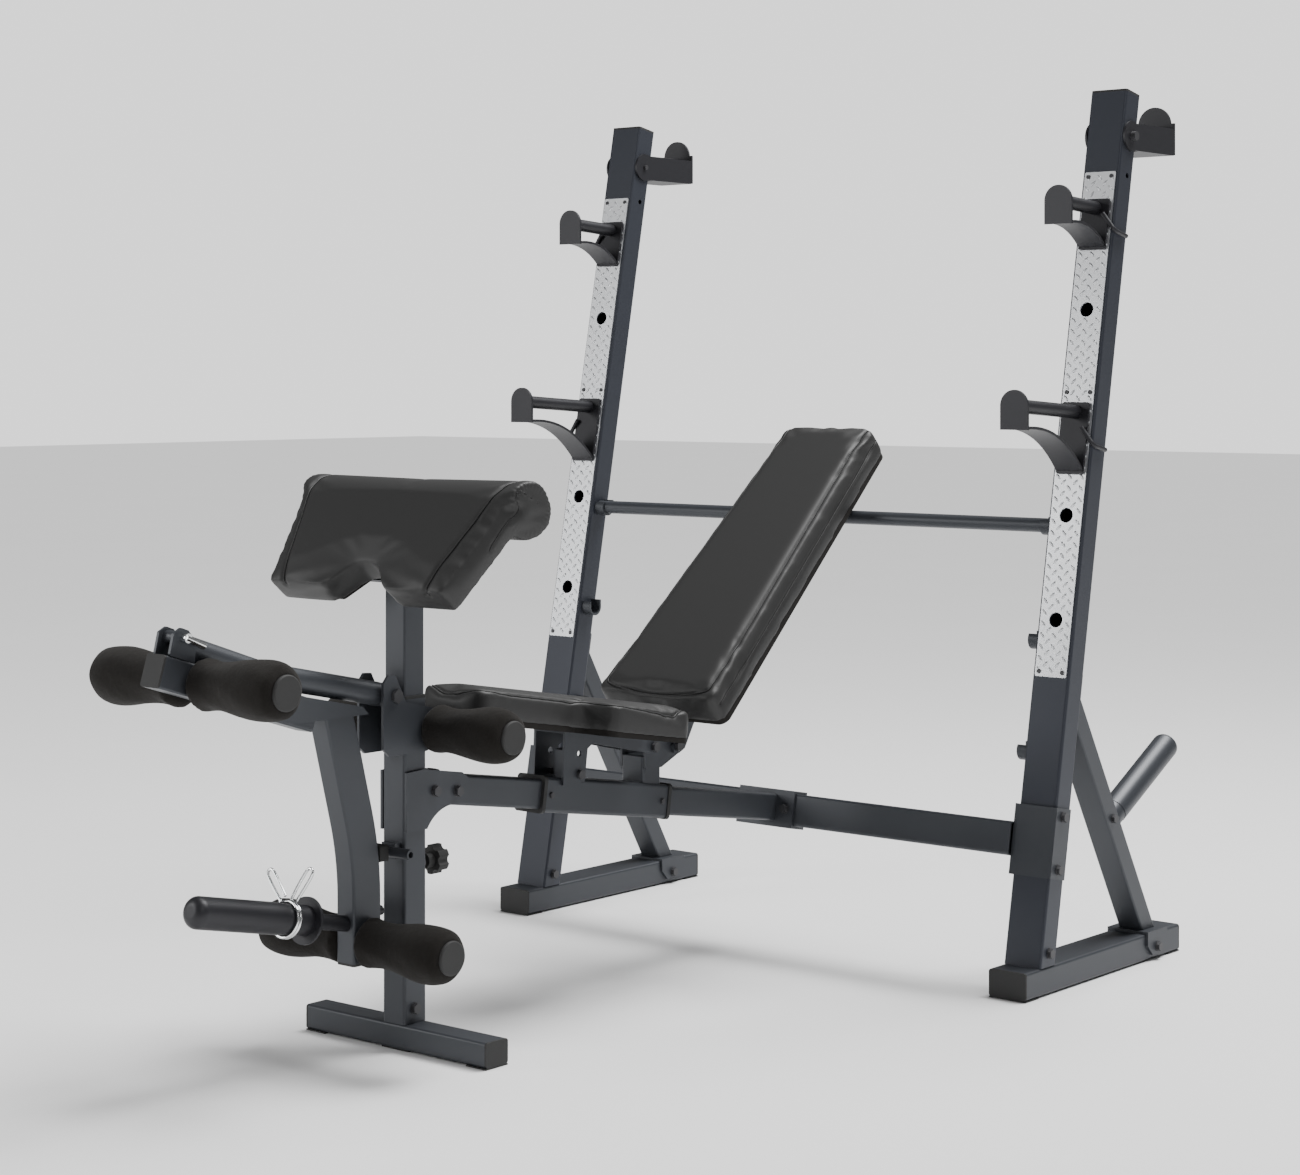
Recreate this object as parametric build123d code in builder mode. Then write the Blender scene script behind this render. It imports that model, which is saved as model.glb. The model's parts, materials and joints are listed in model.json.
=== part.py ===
from build123d import *
import os
from math import atan2, cos, degrees, hypot, pi, radians, sin, tan

os.makedirs("parts", exist_ok=True)

# ---------------------------------------------------------------- sizes, mm
# X runs left to right, -Y is the front (leg developer), +Z is up.
# The origin is on the floor under the middle of the front foot.

# steel tube sections
UP_W = 75.0            # upright and base tube, across X
UP_D = 50.0            # upright, front to back
BEAM = 50.0            # main beam and front post, square
WALL = 2.5             # wall of the large tubes
TUBE_R = 5.0           # outer corner radius of the large tubes

# stand at the rear
UP_X = 580.0           # upright centre to the middle plane
UP_Y = 941.0           # front face of the upright at the top of the base
UP_LEN = 1584.0        # upright length along its lean
LEAN = 11.0            # upright lean to the rear, degrees
BASE_H = 50.0          # height of the base tubes
BASE_Y0 = 893.0        # front end of the base
BASE_Y1 = 1440.0       # rear end of the base
HOLE_R = 13.0          # catch holes in the upright
HOLE_TOP = 1363.0      # highest hole, along the upright
HOLE_PITCH = 188.5     # hole spacing, along the upright
HOLES = 5
BRACE_W = 50.0
BRACE_D = 40.0
BRACE_TOP_Y = 1080.0   # brace middle line at the upright
BRACE_TOP_Z = 503.0
BRACE_FOOT_Y = 1349.0  # brace middle line at the base
PEG_R = 24.5           # plate storage peg
PEG_LEN = 252.0
PEG_NECK = 22.0          # slimmer root next to the brace
PEG_RISE = 27.0        # degrees above level
TREAD_W = 64.0         # patterned cover strip
TREAD_Z0 = 507.0
TREAD_Z1 = 1432.0
TREAD_T = 2.0
REAR_HOOK = (1256.0, 1522.0)   # pin of the rear bar rest
REAR_HOOK_END = 1412.0

# cross members
CROSS_H = 60.0
CROSS_D = 50.0
CROSS_Z = 217.5        # middle of the cross member, along the upright
CROSS_Y = 11.5         # middle of the cross member, across the upright
BAR_R = 13.0           # round cross bar
BAR_Y = 1115.0
BAR_Z = 812.0
HOOK_Z = (798.0, 574.0, 375.0)   # inner hooks, along the upright (top one holds the bar)

# main beam and front post
BEAM_TILT = 9.0        # beam falls to the rear, degrees
BEAM_TOP0 = 446.0      # beam top at the middle of the post
SLEEVE = 60.0
SLEEVE_Y0 = 309.0
SLEEVE_Y1 = 634.0
FOOT_HALF = 204.0
FOOT_H = 42.0
FOOT_D = 50.0
POST_TOP = 564.0
PLATE_X0 = 25.0        # inner face of the plates beside post and beam
PLATE_T = 5.0

# preacher pad
INNER = 45.0
PAD_ANGLE = 51.5       # slope of the pad face, degrees
ROLL_Y = 37.0
ROLL_Z = 874.0
ROLL_R = 50.0
SLAB_LEN = 197.0
SLAB_T = 52.0
PAD_HALF_TOP = 250.0
PAD_HALF_LOW = 198.0

# seat
SEAT_TILT = 9.3        # seat falls to the rear, degrees
SEAT_Y0 = 97.0
SEAT_Z0 = 517.0        # underside at the front end
SEAT_LEN = 472.0
SEAT_NECK = 247.0      # length of the narrow nose
NOSE_HALF = 76.0
SEAT_HALF = 150.0
SEAT_PAD = 48.0
BOARD_T = 10.0
SEAT_PIVOT = (590.0, 424.0)
POST2_Y = 597.0        # middle of the seat post

# backrest
BACK_ANGLE = 41.0      # degrees above level
BACK_Y0 = 622.0
BACK_Z0 = 510.0        # face at the lower end
BACK_LEN = 738.0
BACK_HALF_LOW = 140.0
BACK_HALF_TOP = 110.0
BACK_PAD = 58.0
BACK_BOARD = 12.0
RAIL_T = 12.2
BACK_PIVOT = (655.0, 418.0)

# leg developer
ARM_PIVOT = (-50.0, 573.0)
ARM_TILT = 17.4        # front part rises to the front, degrees
ARM_END = (-517.0, 651.0)
ARM_W = 40.0
ARM_H = 50.0
LOW_D = 60.0           # lower tube, front to back
LINK_R = 19.0
AXLE_R = 12.5
ROLL_AXLE = ((-443.0, 627.0), (-102.0, 188.0))
SEAT_AXLE = (38.5, 512.0)
FOAM_R = 44.5
FOAM_IN = 12.55
FOAM_X1 = 202.0
CAP_R = 27.0
WEIGHT_RISE = 12.0
WEIGHT_Y = -132.0
WEIGHT_Z = 219.5

lean = radians(LEAN)
tilt = radians(BEAM_TILT)
seat_a = radians(SEAT_TILT)
back_a = radians(BACK_ANGLE)
pad_a = radians(PAD_ANGLE)
arm_a = radians(ARM_TILT)
weight_a = radians(WEIGHT_RISE)
peg_a = radians(PEG_RISE)
SIDES = (-1, 1)


# ---------------------------------------------------------------- helpers
def save(shape, name):
    """Label one sub-part and write its STEP file."""
    shape.label = name
    export_step(shape, f"parts/{name}.step")


def grouped(shapes):
    """Several separate solids kept as one node."""
    solids = []
    for shape in shapes:
        solids.extend(shape.solids())
    return Compound(children=solids)


def rod(start, end, radius, bore=0.0):
    """Round bar or tube between two points."""
    axis = Vector(*end) - Vector(*start)
    with BuildPart() as bar:
        with BuildSketch(Plane(origin=start, z_dir=axis)):
            Circle(radius)
            if bore > 0:
                Circle(bore, mode=Mode.SUBTRACT)
        extrude(amount=axis.length)
    return bar.part


def rect_tube(plane, width, depth, length, wall=WALL, corner=TUBE_R):
    """Rectangular tube along the plane's normal, middle on its origin."""
    with BuildPart() as tube:
        with BuildSketch(plane):
            RectangleRounded(width, depth, corner)
            if wall > 0:
                RectangleRounded(width - 2 * wall, depth - 2 * wall, corner - wall / 2, mode=Mode.SUBTRACT)
        extrude(amount=length)
    return tube.part


def yz_plate(points, x0, thickness, corner=0.0, holes=()):
    """Flat plate drawn in the Y-Z plane, from x0 along +X."""
    with BuildPart() as plate:
        with BuildSketch(Plane.YZ.offset(x0)) as outline:
            with BuildLine():
                Polyline(*points, close=True)
            make_face()
            if corner > 0:
                fillet(outline.vertices(), corner)
            for y, z, r in holes:
                with Locations((y, z)):
                    Circle(r, mode=Mode.SUBTRACT)
        extrude(amount=thickness)
    return plate.part


def hex_bolt(head_at, direction, shank, across=17.0, head=7.0, radius=5.0):
    """Bolt with a hexagon head and washer; head_at is the clamped face."""
    with BuildPart() as bolt:
        with BuildSketch(Plane(origin=head_at, z_dir=direction)):
            Circle(across * 0.62)
        extrude(amount=1.5)
        with BuildSketch(Plane(origin=head_at, z_dir=direction).offset(1.5)):
            RegularPolygon(across / 2, 6, major_radius=False)
        extrude(amount=head)
        if shank > 0:
            with BuildSketch(Plane(origin=head_at, z_dir=direction)):
                Circle(radius)
            extrude(amount=-shank)
    return bolt.part


def up_point(y, z):
    """World Y and Z of a point given across and along the upright."""
    return (UP_Y + y * cos(lean) + z * sin(lean), BASE_H - y * sin(lean) + z * cos(lean))


def up_plane(x, y, z):
    """Plane square to the upright's length, local y to the rear."""
    wy, wz = up_point(y, z)
    return Plane(origin=(x, wy, wz), x_dir=(1, 0, 0), z_dir=(0, sin(lean), cos(lean)))


def face_plane(x, y, z):
    """Plane parallel to the upright's front face, normal to the rear."""
    wy, wz = up_point(y, z)
    return Plane(origin=(x, wy, wz), x_dir=(1, 0, 0), z_dir=(0, cos(lean), -sin(lean)))


def beam_mid(y):
    """Height of the beam's middle line at world Y."""
    return BEAM_TOP0 - y * tan(tilt) - BEAM / 2 / cos(tilt)


def beam_plane(y):
    """Plane square to the main beam where its middle line is at world Y."""
    return Plane(origin=(0, y, beam_mid(y)), x_dir=(1, 0, 0), z_dir=(0, cos(tilt), -sin(tilt)))


def seat_point(s, h):
    """World Y and Z from distance along the seat and height over its underside."""
    return (SEAT_Y0 + s * cos(seat_a) + h * sin(seat_a), SEAT_Z0 - s * sin(seat_a) + h * cos(seat_a))


def seat_plane(h):
    """Plane parallel to the seat, local y towards the rear."""
    y, z = seat_point(0, h)
    return Plane(origin=(0, y, z), x_dir=(1, 0, 0), z_dir=(0, sin(seat_a), cos(seat_a)))


def back_point(s, depth):
    """World Y and Z from distance up the backrest and depth behind its face."""
    return (BACK_Y0 + s * cos(back_a) + depth * sin(back_a),
            BACK_Z0 + s * sin(back_a) - depth * cos(back_a))


def back_plane(depth):
    """Plane parallel to the backrest, local y up the backrest."""
    y, z = back_point(0, depth)
    return Plane(origin=(0, y, z), x_dir=(1, 0, 0), z_dir=(0, -sin(back_a), cos(back_a)))


PAD_TAN_Y = ROLL_Y - (ROLL_R - 2) * sin(pad_a)
PAD_TAN_Z = ROLL_Z + (ROLL_R - 2) * cos(pad_a)


def pad_point(s, depth):
    """World Y and Z from distance up the preacher face and depth behind it."""
    back = s - SLAB_LEN
    return (PAD_TAN_Y + back * cos(pad_a) + depth * sin(pad_a),
            PAD_TAN_Z + back * sin(pad_a) - depth * cos(pad_a))


def pad_plane(depth):
    """Plane parallel to the preacher face, local y up the face."""
    y, z = pad_point(0, depth)
    return Plane(origin=(0, y, z), x_dir=(1, 0, 0), z_dir=(0, -sin(pad_a), cos(pad_a)))


# ---------------------------------------------------------------- stand
def build_base_tube(side):
    """Flat-laid tube on the floor under one upright."""
    plane = Plane(origin=(side * UP_X, BASE_Y0 + 4, BASE_H / 2 + 1), x_dir=(1, 0, 0), z_dir=(0, 1, 0))
    return rect_tube(plane, UP_W, BASE_H - 2, BASE_Y1 - BASE_Y0 - 8)


def build_upright(side):
    """Leaning upright, cut level at its foot, with catch holes in front."""
    with BuildPart() as post:
        with BuildSketch(up_plane(side * UP_X, UP_D / 2, -30)):
            RectangleRounded(UP_W, UP_D, TUBE_R)
            RectangleRounded(UP_W - 2 * WALL, UP_D - 2 * WALL, TUBE_R / 2, mode=Mode.SUBTRACT)
        extrude(amount=UP_LEN + 30)
        split(bisect_by=Plane.XY.offset(BASE_H), keep=Keep.TOP)
        for i in range(HOLES):
            with BuildSketch(face_plane(side * UP_X, -1, HOLE_TOP - i * HOLE_PITCH)):
                Circle(HOLE_R)
            extrude(amount=WALL + 2, mode=Mode.SUBTRACT)
        with BuildSketch(Plane.YZ.offset(side * UP_X - UP_W)):
            with Locations((REAR_HOOK[0], REAR_HOOK[1])):
                Circle(5.0)
            with Locations((REAR_HOOK[0] - 12, REAR_HOOK[1] - 73)):
                Circle(5.0)
        extrude(amount=2 * UP_W, mode=Mode.SUBTRACT)
    return post.part


def build_tread_plate(side):
    """Patterned strip on the upright's front face, open at the holes."""
    length = TREAD_Z1 - TREAD_Z0
    with BuildPart() as strip:
        with BuildSketch(face_plane(side * UP_X, -TREAD_T, (TREAD_Z0 + TREAD_Z1) / 2)):
            RectangleRounded(TREAD_W, length, 3)
            for i in range(HOLES):
                with Locations((0, -(HOLE_TOP - i * HOLE_PITCH - (TREAD_Z0 + TREAD_Z1) / 2))):
                    Circle(HOLE_R + 0.5, mode=Mode.SUBTRACT)
        extrude(amount=TREAD_T)
    return strip.part


def build_brace(side):
    """Diagonal brace from the base to the back of the upright."""
    dy = BRACE_TOP_Y - BRACE_FOOT_Y
    dz = BRACE_TOP_Z - BASE_H
    size = hypot(dy, dz)
    y, z = up_point(UP_D + 5, 0)
    rear = Plane(origin=(0, y, z), x_dir=(1, 0, 0), z_dir=(0, cos(lean), -sin(lean)))
    start = (side * UP_X, BRACE_FOOT_Y - dy * 0.1, BASE_H - dz * 0.1)
    with BuildPart() as brace:
        with BuildSketch(Plane(origin=start, x_dir=(1, 0, 0), z_dir=(0, dy / size, dz / size))):
            RectangleRounded(BRACE_W, BRACE_D, 4)
            RectangleRounded(BRACE_W - 4, BRACE_D - 4, 2, mode=Mode.SUBTRACT)
        extrude(amount=size * 1.3)
        split(bisect_by=Plane.XY.offset(BASE_H + 5), keep=Keep.TOP)
        split(bisect_by=rear, keep=Keep.TOP)
    return brace.part


def build_brace_mounts(side):
    """End plate on the upright and saddle over the base, one side."""
    with BuildPart() as plate:
        with BuildSketch(face_plane(side * UP_X, UP_D, 471)):
            RectangleRounded(66, 104, 6)
        extrude(amount=5)
    half = UP_W / 2
    with BuildPart() as saddle:
        with BuildSketch(Plane.XY.offset(BASE_H)):
            with Locations((side * UP_X, BRACE_FOOT_Y)):
                Rectangle(UP_W + 10, 74)
        extrude(amount=5)
    ears = []
    for edge in SIDES:
        x0 = side * UP_X + edge * half + (0 if edge > 0 else -5)
        pts = [(BRACE_FOOT_Y - 37, BASE_H), (BRACE_FOOT_Y + 37, BASE_H), (BRACE_FOOT_Y + 37, 30),
               (BRACE_FOOT_Y + 18, 10), (BRACE_FOOT_Y - 18, 10), (BRACE_FOOT_Y - 37, 30)]
        ears.append(yz_plate(pts, x0, 5.0))
    with BuildPart() as joined:
        add(saddle.part)
        for ear in ears:
            add(ear)
    return [plate.part, joined.part]


def build_peg(side):
    """Plate storage peg with a domed end, on the back of the brace."""
    dy = BRACE_TOP_Y - BRACE_FOOT_Y
    dz = BRACE_TOP_Z - BASE_H
    size = hypot(dy, dz)
    ny, nz = dz / size, -dy / size
    mid_z = 262.0
    mid_y = BRACE_FOOT_Y + (mid_z - BASE_H) * dy / dz
    face = (side * UP_X, mid_y + ny * BRACE_D / 2, mid_z + nz * BRACE_D / 2)
    direction = (0, cos(peg_a), sin(peg_a))
    back = Plane(origin=face, z_dir=(0, ny, nz))
    with BuildPart() as peg:
        with BuildSketch(Plane(origin=face, z_dir=direction).offset(-20)):
            Circle(PEG_R)
        extrude(amount=PEG_LEN + 20)
        fillet(peg.faces().sort_by(Axis((0, 0, 0), direction))[-1].edges(), 14)
        with BuildSketch(Plane(origin=face, z_dir=direction).offset(-20)):
            Circle(PEG_R - 3)
        extrude(amount=PEG_LEN + 2, mode=Mode.SUBTRACT)
        split(bisect_by=back, keep=Keep.TOP)
        with BuildSketch(Plane(origin=face, z_dir=direction).offset(-20)):
            Circle(PEG_R + 4)
            Circle(PEG_R - 0.8, mode=Mode.SUBTRACT)
        extrude(amount=20 + PEG_NECK, mode=Mode.SUBTRACT)
    return peg.part


def build_cross_member():
    """Lower rear member between the uprights."""
    half = UP_X - UP_W / 2 - 5
    plane = Plane(origin=(-half, *up_point(CROSS_Y, CROSS_Z)), x_dir=(0, cos(lean), -sin(lean)), z_dir=(1, 0, 0))
    return rect_tube(plane, CROSS_D, CROSS_H, 2 * half)


def build_cross_bracket(side):
    """U-shaped bracket round the front of an upright."""
    z0, z1 = 156.0, 280.0
    with BuildPart() as bracket:
        with BuildSketch(up_plane(side * UP_X, 0, z0)):
            with Locations((0, 19)):
                Rectangle(UP_W + 10, 48)
            with Locations((0, 24)):
                Rectangle(UP_W, 48, mode=Mode.SUBTRACT)
        extrude(amount=z1 - z0)
    return bracket.part


def build_beam_bracket():
    """Channel over the cross member that carries the end of the main beam."""
    front = CROSS_Y - CROSS_D / 2
    with BuildPart() as bracket:
        plane = Plane(origin=(-65, *up_point(0, CROSS_Z)), x_dir=(0, cos(lean), -sin(lean)), z_dir=(1, 0, 0))
        with BuildSketch(plane):
            with Locations((front - 5 + 20, 0)):
                Rectangle(40, CROSS_H + 10)
            with Locations((front + 25, 0)):
                Rectangle(50, CROSS_H, mode=Mode.SUBTRACT)
        extrude(amount=130)
    return bracket.part


def build_inner_hooks():
    """Open cradles on the inner faces of the uprights for the cross bar."""
    cradles = []
    for side in SIDES:
        for along in HOOK_Z:
            if along == HOOK_Z[0]:
                y, z = BAR_Y, BAR_Z
            else:
                y, z = up_point(UP_D / 2, along)
            x0 = side * (UP_X - UP_W / 2)
            plane = Plane(origin=(x0, y, z), x_dir=(0, 1, 0), z_dir=(-side, 0, 0))
            flip = 1 if plane.y_dir.Z > 0 else -1
            with BuildPart() as hook:
                with BuildSketch(plane):
                    Circle(BAR_R + 4.5)
                    with Locations((BAR_R + 2.4, 7 * flip)):
                        Rectangle(4.2, 14)
                    Circle(BAR_R + 0.35, mode=Mode.SUBTRACT)
                    with Locations((0, 20 * flip)):
                        Rectangle(2 * BAR_R + 0.7, 40, mode=Mode.SUBTRACT)
                extrude(amount=22)
            cradles.append(hook.part)
    return cradles


def build_cross_bar():
    """Round bar resting in the top pair of cradles."""
    half = UP_X - UP_W / 2 - 1.5
    return rod((-half, BAR_Y, BAR_Z), (half, BAR_Y, BAR_Z), BAR_R, BAR_R - 2)


def build_rear_hook(side):
    """Rear bar rest: two cheeks round the upright, a rest tube and an end plate."""
    cy, cz = REAR_HOOK
    half = UP_W / 2 + 0.3
    end = REAR_HOOK_END
    pieces = []
    for edge in SIDES:
        x0 = side * UP_X + edge * half + (0 if edge > 0 else -4)
        with BuildPart() as cheek:
            with BuildSketch(Plane.YZ.offset(x0)):
                with Locations((cy, cz)):
                    Circle(28)
                with Locations(((cy + end) / 2, cz - 1)):
                    Rectangle(end - cy, 50)
                with Locations((cy, cz)):
                    Circle(5.2, mode=Mode.SUBTRACT)
            extrude(amount=4)
        pieces.append(cheek.part)
    rear_y, rear_z = up_point(UP_D, (cz - BASE_H) / cos(lean))
    with BuildPart() as web:
        with BuildSketch(Plane.XY.offset(cz - 26)):
            with Locations((side * UP_X, (rear_y + 9 + end) / 2)):
                Rectangle(UP_W + 2, end - rear_y - 9)
        extrude(amount=4)
    pieces.append(web.part)
    with BuildPart() as plate:
        with BuildSketch(Plane(origin=(side * UP_X, end, cz), x_dir=(1, 0, 0), z_dir=(0, -1, 0))):
            with Locations((0, 5)):
                Rectangle(UP_W + 8.6, 60)
            with Locations((0, 33)):
                Circle(34)
        extrude(amount=-5)
    pieces.append(plate.part)
    rest = rod((side * UP_X, rear_y + 9, cz + 13), (side * UP_X, end, cz + 13), 17, 14)
    pieces.append(rest)
    for at in (rear_y + 24, end - 20):
        with BuildPart() as rib:
            with BuildSketch(Plane(origin=(side * UP_X, at, cz - 4), x_dir=(1, 0, 0), z_dir=(0, 1, 0))):
                Rectangle(UP_W + 2, 38)
                with Locations((0, 17)):
                    Circle(16, mode=Mode.SUBTRACT)
            extrude(amount=4)
        pieces.append(rib.part)
    with BuildPart() as hook:
        for piece in pieces:
            add(piece)
    return hook.part


def build_hook_pin(side):
    """Quick pin through the rear hook and the upright."""
    cy, cz = REAR_HOOK
    x_in = side * (UP_X - UP_W / 2 - 9)
    x_out = side * (UP_X + UP_W / 2 + 4.6)
    with BuildPart() as pin:
        add(rod((x_in, cy, cz), (x_out, cy, cz), 4.9))
        add(rod((x_out, cy, cz), (x_out + side * 9, cy, cz), 8.5))
    return pin.part


def build_catch(side, along, reach, plate_z1, plate_z0):
    """Bar catch: plug, back plate, arm, end plate, web strip and lock rod."""
    x = side * UP_X
    hole_y, hole_z = up_point(0, along)
    face_y, face_z = up_point(-TREAD_T - 0.1, along)
    rise = radians(3.5)
    tip_y = face_y - reach * cos(rise)
    tip_z = face_z + reach * sin(rise)
    pieces = []
    plug_y, plug_z = up_point(34, along)
    pieces.append(rod((x, face_y, face_z), (x, plug_y, plug_z), HOLE_R - 0.6))
    with BuildPart() as back:
        with BuildSketch(face_plane(x, -TREAD_T - 5.1, (plate_z0 + plate_z1) / 2)):
            RectangleRounded(56, plate_z1 - plate_z0, 5)
        extrude(amount=5)
    pieces.append(back.part)
    pieces.append(rod((x, face_y - 3, face_z), (x, tip_y, tip_z), 12.5))
    with BuildPart() as nose:
        with BuildSketch(Plane(origin=(x, tip_y, tip_z), x_dir=(1, 0, 0), z_dir=(0, -1, 0))):
            Circle(28)
            with Locations((0, -21)):
                Rectangle(56, 42)
        extrude(amount=5)
    pieces.append(nose.part)
    low_y, low_z = up_point(-TREAD_T - 3, plate_z0 + 3)
    start = (tip_y - 2.5, tip_z - 41)
    bulge = 0.12 * hypot(low_y - start[0], low_z - start[1])
    bow = ((start[0] + low_y) / 2 + bulge * 0.55, (start[1] + low_z) / 2 + bulge * 0.85)
    with BuildPart() as strip:
        with BuildSketch(Plane.YZ.offset(x - 27)):
            with BuildLine():
                Spline((start[0], start[1]), bow, (low_y, low_z))
                Line((low_y, low_z), (low_y + 2, low_z + 5))
                Spline((low_y + 2, low_z + 5), (bow[0] + 3, bow[1] + 4), (start[0] + 2, start[1] + 5))
                Line((start[0] + 2, start[1] + 5), (start[0], start[1]))
            make_face()
        extrude(amount=54)
    pieces.append(strip.part)
    mid_y, mid_z = up_point(-TREAD_T - 2.6, (along + plate_z0) / 2 + 12)
    out = side * (UP_X + UP_W / 2 + 6)
    rear_y, rear_z = up_point(UP_D * 0.75, (along + plate_z0) / 2 - 5)
    knee_y, knee_z = up_point(-TREAD_T - 1.0, (along + plate_z0) / 2 - 4)
    with BuildPart() as lock:
        with BuildLine() as path:
            FilletPolyline((side * (UP_X + 20), mid_y - 6, mid_z + 16), (out, knee_y - 2, knee_z), (out, rear_y, rear_z), radius=10)
        with BuildSketch(Plane(origin=path.line @ 0, z_dir=path.line % 0)):
            Circle(4.2)
        sweep(path=path.line)
    pieces.append(lock.part)
    with BuildPart() as catch:
        for piece in pieces:
            add(piece)
    return catch.part


# ---------------------------------------------------------------- beam, post, foot
def build_main_beam():
    """Sloping beam from the post to the cross member's channel."""
    front = CROSS_Y - CROSS_D / 2 - 5
    y, z = up_point(front, CROSS_Z)
    stop = Plane(origin=(0, y, z), x_dir=(1, 0, 0), z_dir=(0, -cos(lean), sin(lean)))
    with BuildPart() as beam:
        with BuildSketch(beam_plane(0)):
            RectangleRounded(BEAM, BEAM, TUBE_R)
            RectangleRounded(BEAM - 2 * WALL, BEAM - 2 * WALL, TUBE_R / 2, mode=Mode.SUBTRACT)
        extrude(amount=1100)
        split(bisect_by=Plane.XZ.offset(-BEAM / 2), keep=Keep.BOTTOM)
        split(bisect_by=stop, keep=Keep.TOP)
    return beam.part


def build_sleeve():
    """Outer tube on the beam that carries the seat, with its front pin block."""
    length = (SLEEVE_Y1 - SLEEVE_Y0) / cos(tilt)
    top = beam_mid(388) + SLEEVE / 2
    with BuildPart() as sleeve:
        with BuildSketch(beam_plane(SLEEVE_Y0)):
            RectangleRounded(SLEEVE, SLEEVE, 6)
            RectangleRounded(BEAM + 0.6, BEAM + 0.6, TUBE_R, mode=Mode.SUBTRACT)
        extrude(amount=length)
        with BuildSketch(Plane.XY.offset(top - 2.4)):
            with Locations((0, 388)):
                Rectangle(24, 26)
        extrude(amount=52)
        with BuildSketch(Plane.YZ.offset(-13)):
            with Locations((388, 398)):
                Circle(5)
        extrude(amount=26, mode=Mode.SUBTRACT)
    return sleeve.part


def build_collars():
    """Plastic rings at the sleeve ends and in the top of the post."""
    rings = []
    for y, way in ((SLEEVE_Y0, -8), (SLEEVE_Y1, 8)):
        with BuildPart() as ring:
            with BuildSketch(beam_plane(y)):
                RectangleRounded(SLEEVE + 4, SLEEVE + 4, 7)
                RectangleRounded(BEAM + 0.4, BEAM + 0.4, TUBE_R, mode=Mode.SUBTRACT)
            extrude(amount=way)
        rings.append(ring.part)
    with BuildPart() as top:
        with BuildSketch(Plane.XY.offset(POST_TOP)):
            RectangleRounded(BEAM, BEAM, TUBE_R)
            RectangleRounded(INNER + 0.2, INNER + 0.2, 3.5, mode=Mode.SUBTRACT)
        extrude(amount=5)
    rings.append(top.part)
    return rings


def build_seat_post():
    """Short square post on the sleeve with the pivot cheeks on top."""
    base = beam_plane(POST2_Y)
    top = 402.0
    stand = Plane(origin=base.origin + base.y_dir * (-SLEEVE / 2), x_dir=(1, 0, 0), z_dir=(0, sin(tilt), cos(tilt)))
    pieces = []
    with BuildPart() as post:
        with BuildSketch(Plane.XY.offset(top)):
            with Locations((0, POST2_Y)):
                RectangleRounded(BEAM, BEAM, TUBE_R)
                RectangleRounded(BEAM - 5, BEAM - 5, TUBE_R / 2, mode=Mode.SUBTRACT)
        extrude(amount=-90)
        split(bisect_by=stand, keep=Keep.TOP)
        with BuildSketch(Plane.XY.offset(top)):
            with Locations((0, POST2_Y)):
                RectangleRounded(BEAM, BEAM, TUBE_R)
        extrude(amount=4)
    pieces.append(post.part)
    for edge in SIDES:
        x0 = PLATE_X0 if edge > 0 else -PLATE_X0 - PLATE_T
        pts = [(574, 384), (618, 384), (672, 406), (672, 430), (648, 434), (600, 432), (574, 431)]
        holes = [(SEAT_PIVOT[0], SEAT_PIVOT[1], 5.1), (BACK_PIVOT[0], BACK_PIVOT[1], 5.1)]
        pieces.append(yz_plate(pts, x0, PLATE_T, 2.0, holes))
    with BuildPart() as post_all:
        for piece in pieces:
            add(piece)
    return post_all.part


def build_front_post():
    """Outer square post on the front foot, with the clamp nut behind."""
    with BuildPart() as post:
        with BuildSketch(Plane.XY.offset(FOOT_H)):
            RectangleRounded(BEAM, BEAM, TUBE_R)
            RectangleRounded(BEAM - 4, BEAM - 4, TUBE_R - 2, mode=Mode.SUBTRACT)
        extrude(amount=POST_TOP - FOOT_H)
        with BuildSketch(Plane(origin=(0, BEAM / 2 - 2, 294), x_dir=(1, 0, 0), z_dir=(0, 1, 0))):
            Circle(5.1)
        extrude(amount=4, mode=Mode.SUBTRACT)
        with BuildSketch(Plane(origin=(0, BEAM / 2, 294), x_dir=(1, 0, 0), z_dir=(0, 1, 0))):
            Circle(12)
            Circle(5.1, mode=Mode.SUBTRACT)
        extrude(amount=12)
    return post.part


def build_front_foot():
    """Cross foot under the post, open ends closed by caps."""
    plane = Plane(origin=(-FOOT_HALF + 4, 0, FOOT_H / 2 + 1), x_dir=(0, 1, 0), z_dir=(1, 0, 0))
    return rect_tube(plane, FOOT_D, FOOT_H - 2, 2 * FOOT_HALF - 8)


def build_gussets():
    """Side plates that tie the main beam to the post."""
    plates = []
    for edge in SIDES:
        x0 = PLATE_X0 if edge > 0 else -PLATE_X0 - PLATE_T
        with BuildPart() as plate:
            with BuildSketch(Plane.YZ.offset(x0)) as outline:
                with BuildLine():
                    Polyline((-25, 352), (-25, 447), (14, 449), (104, 434), (118, 424), (114, 383), (88, 384))
                    ThreePointArc((88, 384), (52, 378), (22, 352))
                    Line((22, 352), (-25, 352))
                make_face()
            extrude(amount=PLATE_T)
        plates.append(plate.part)
    return plates


def build_side_plates():
    """Plates beside the post: leg developer pivot in front, roller axle behind."""
    plates = []
    for edge in SIDES:
        x0 = PLATE_X0 if edge > 0 else -PLATE_X0 - PLATE_T
        with BuildPart() as plate:
            with BuildSketch(Plane.YZ.offset(x0)) as outline:
                with BuildLine():
                    Polyline((-77, 500), (-77, 594), (-66, 607), (-50, 606), (-26, 561), (30, 548),
                             (62, 536), (62, 488), (20, 478), (-64, 478), (-77, 490), close=True)
                make_face()
                with Locations((ARM_PIVOT[0], ARM_PIVOT[1])):
                    Circle(6.1, mode=Mode.SUBTRACT)
                with Locations((SEAT_AXLE[0], SEAT_AXLE[1])):
                    Circle(AXLE_R, mode=Mode.SUBTRACT)
            extrude(amount=PLATE_T)
        plates.append(plate.part)
    return plates


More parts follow.
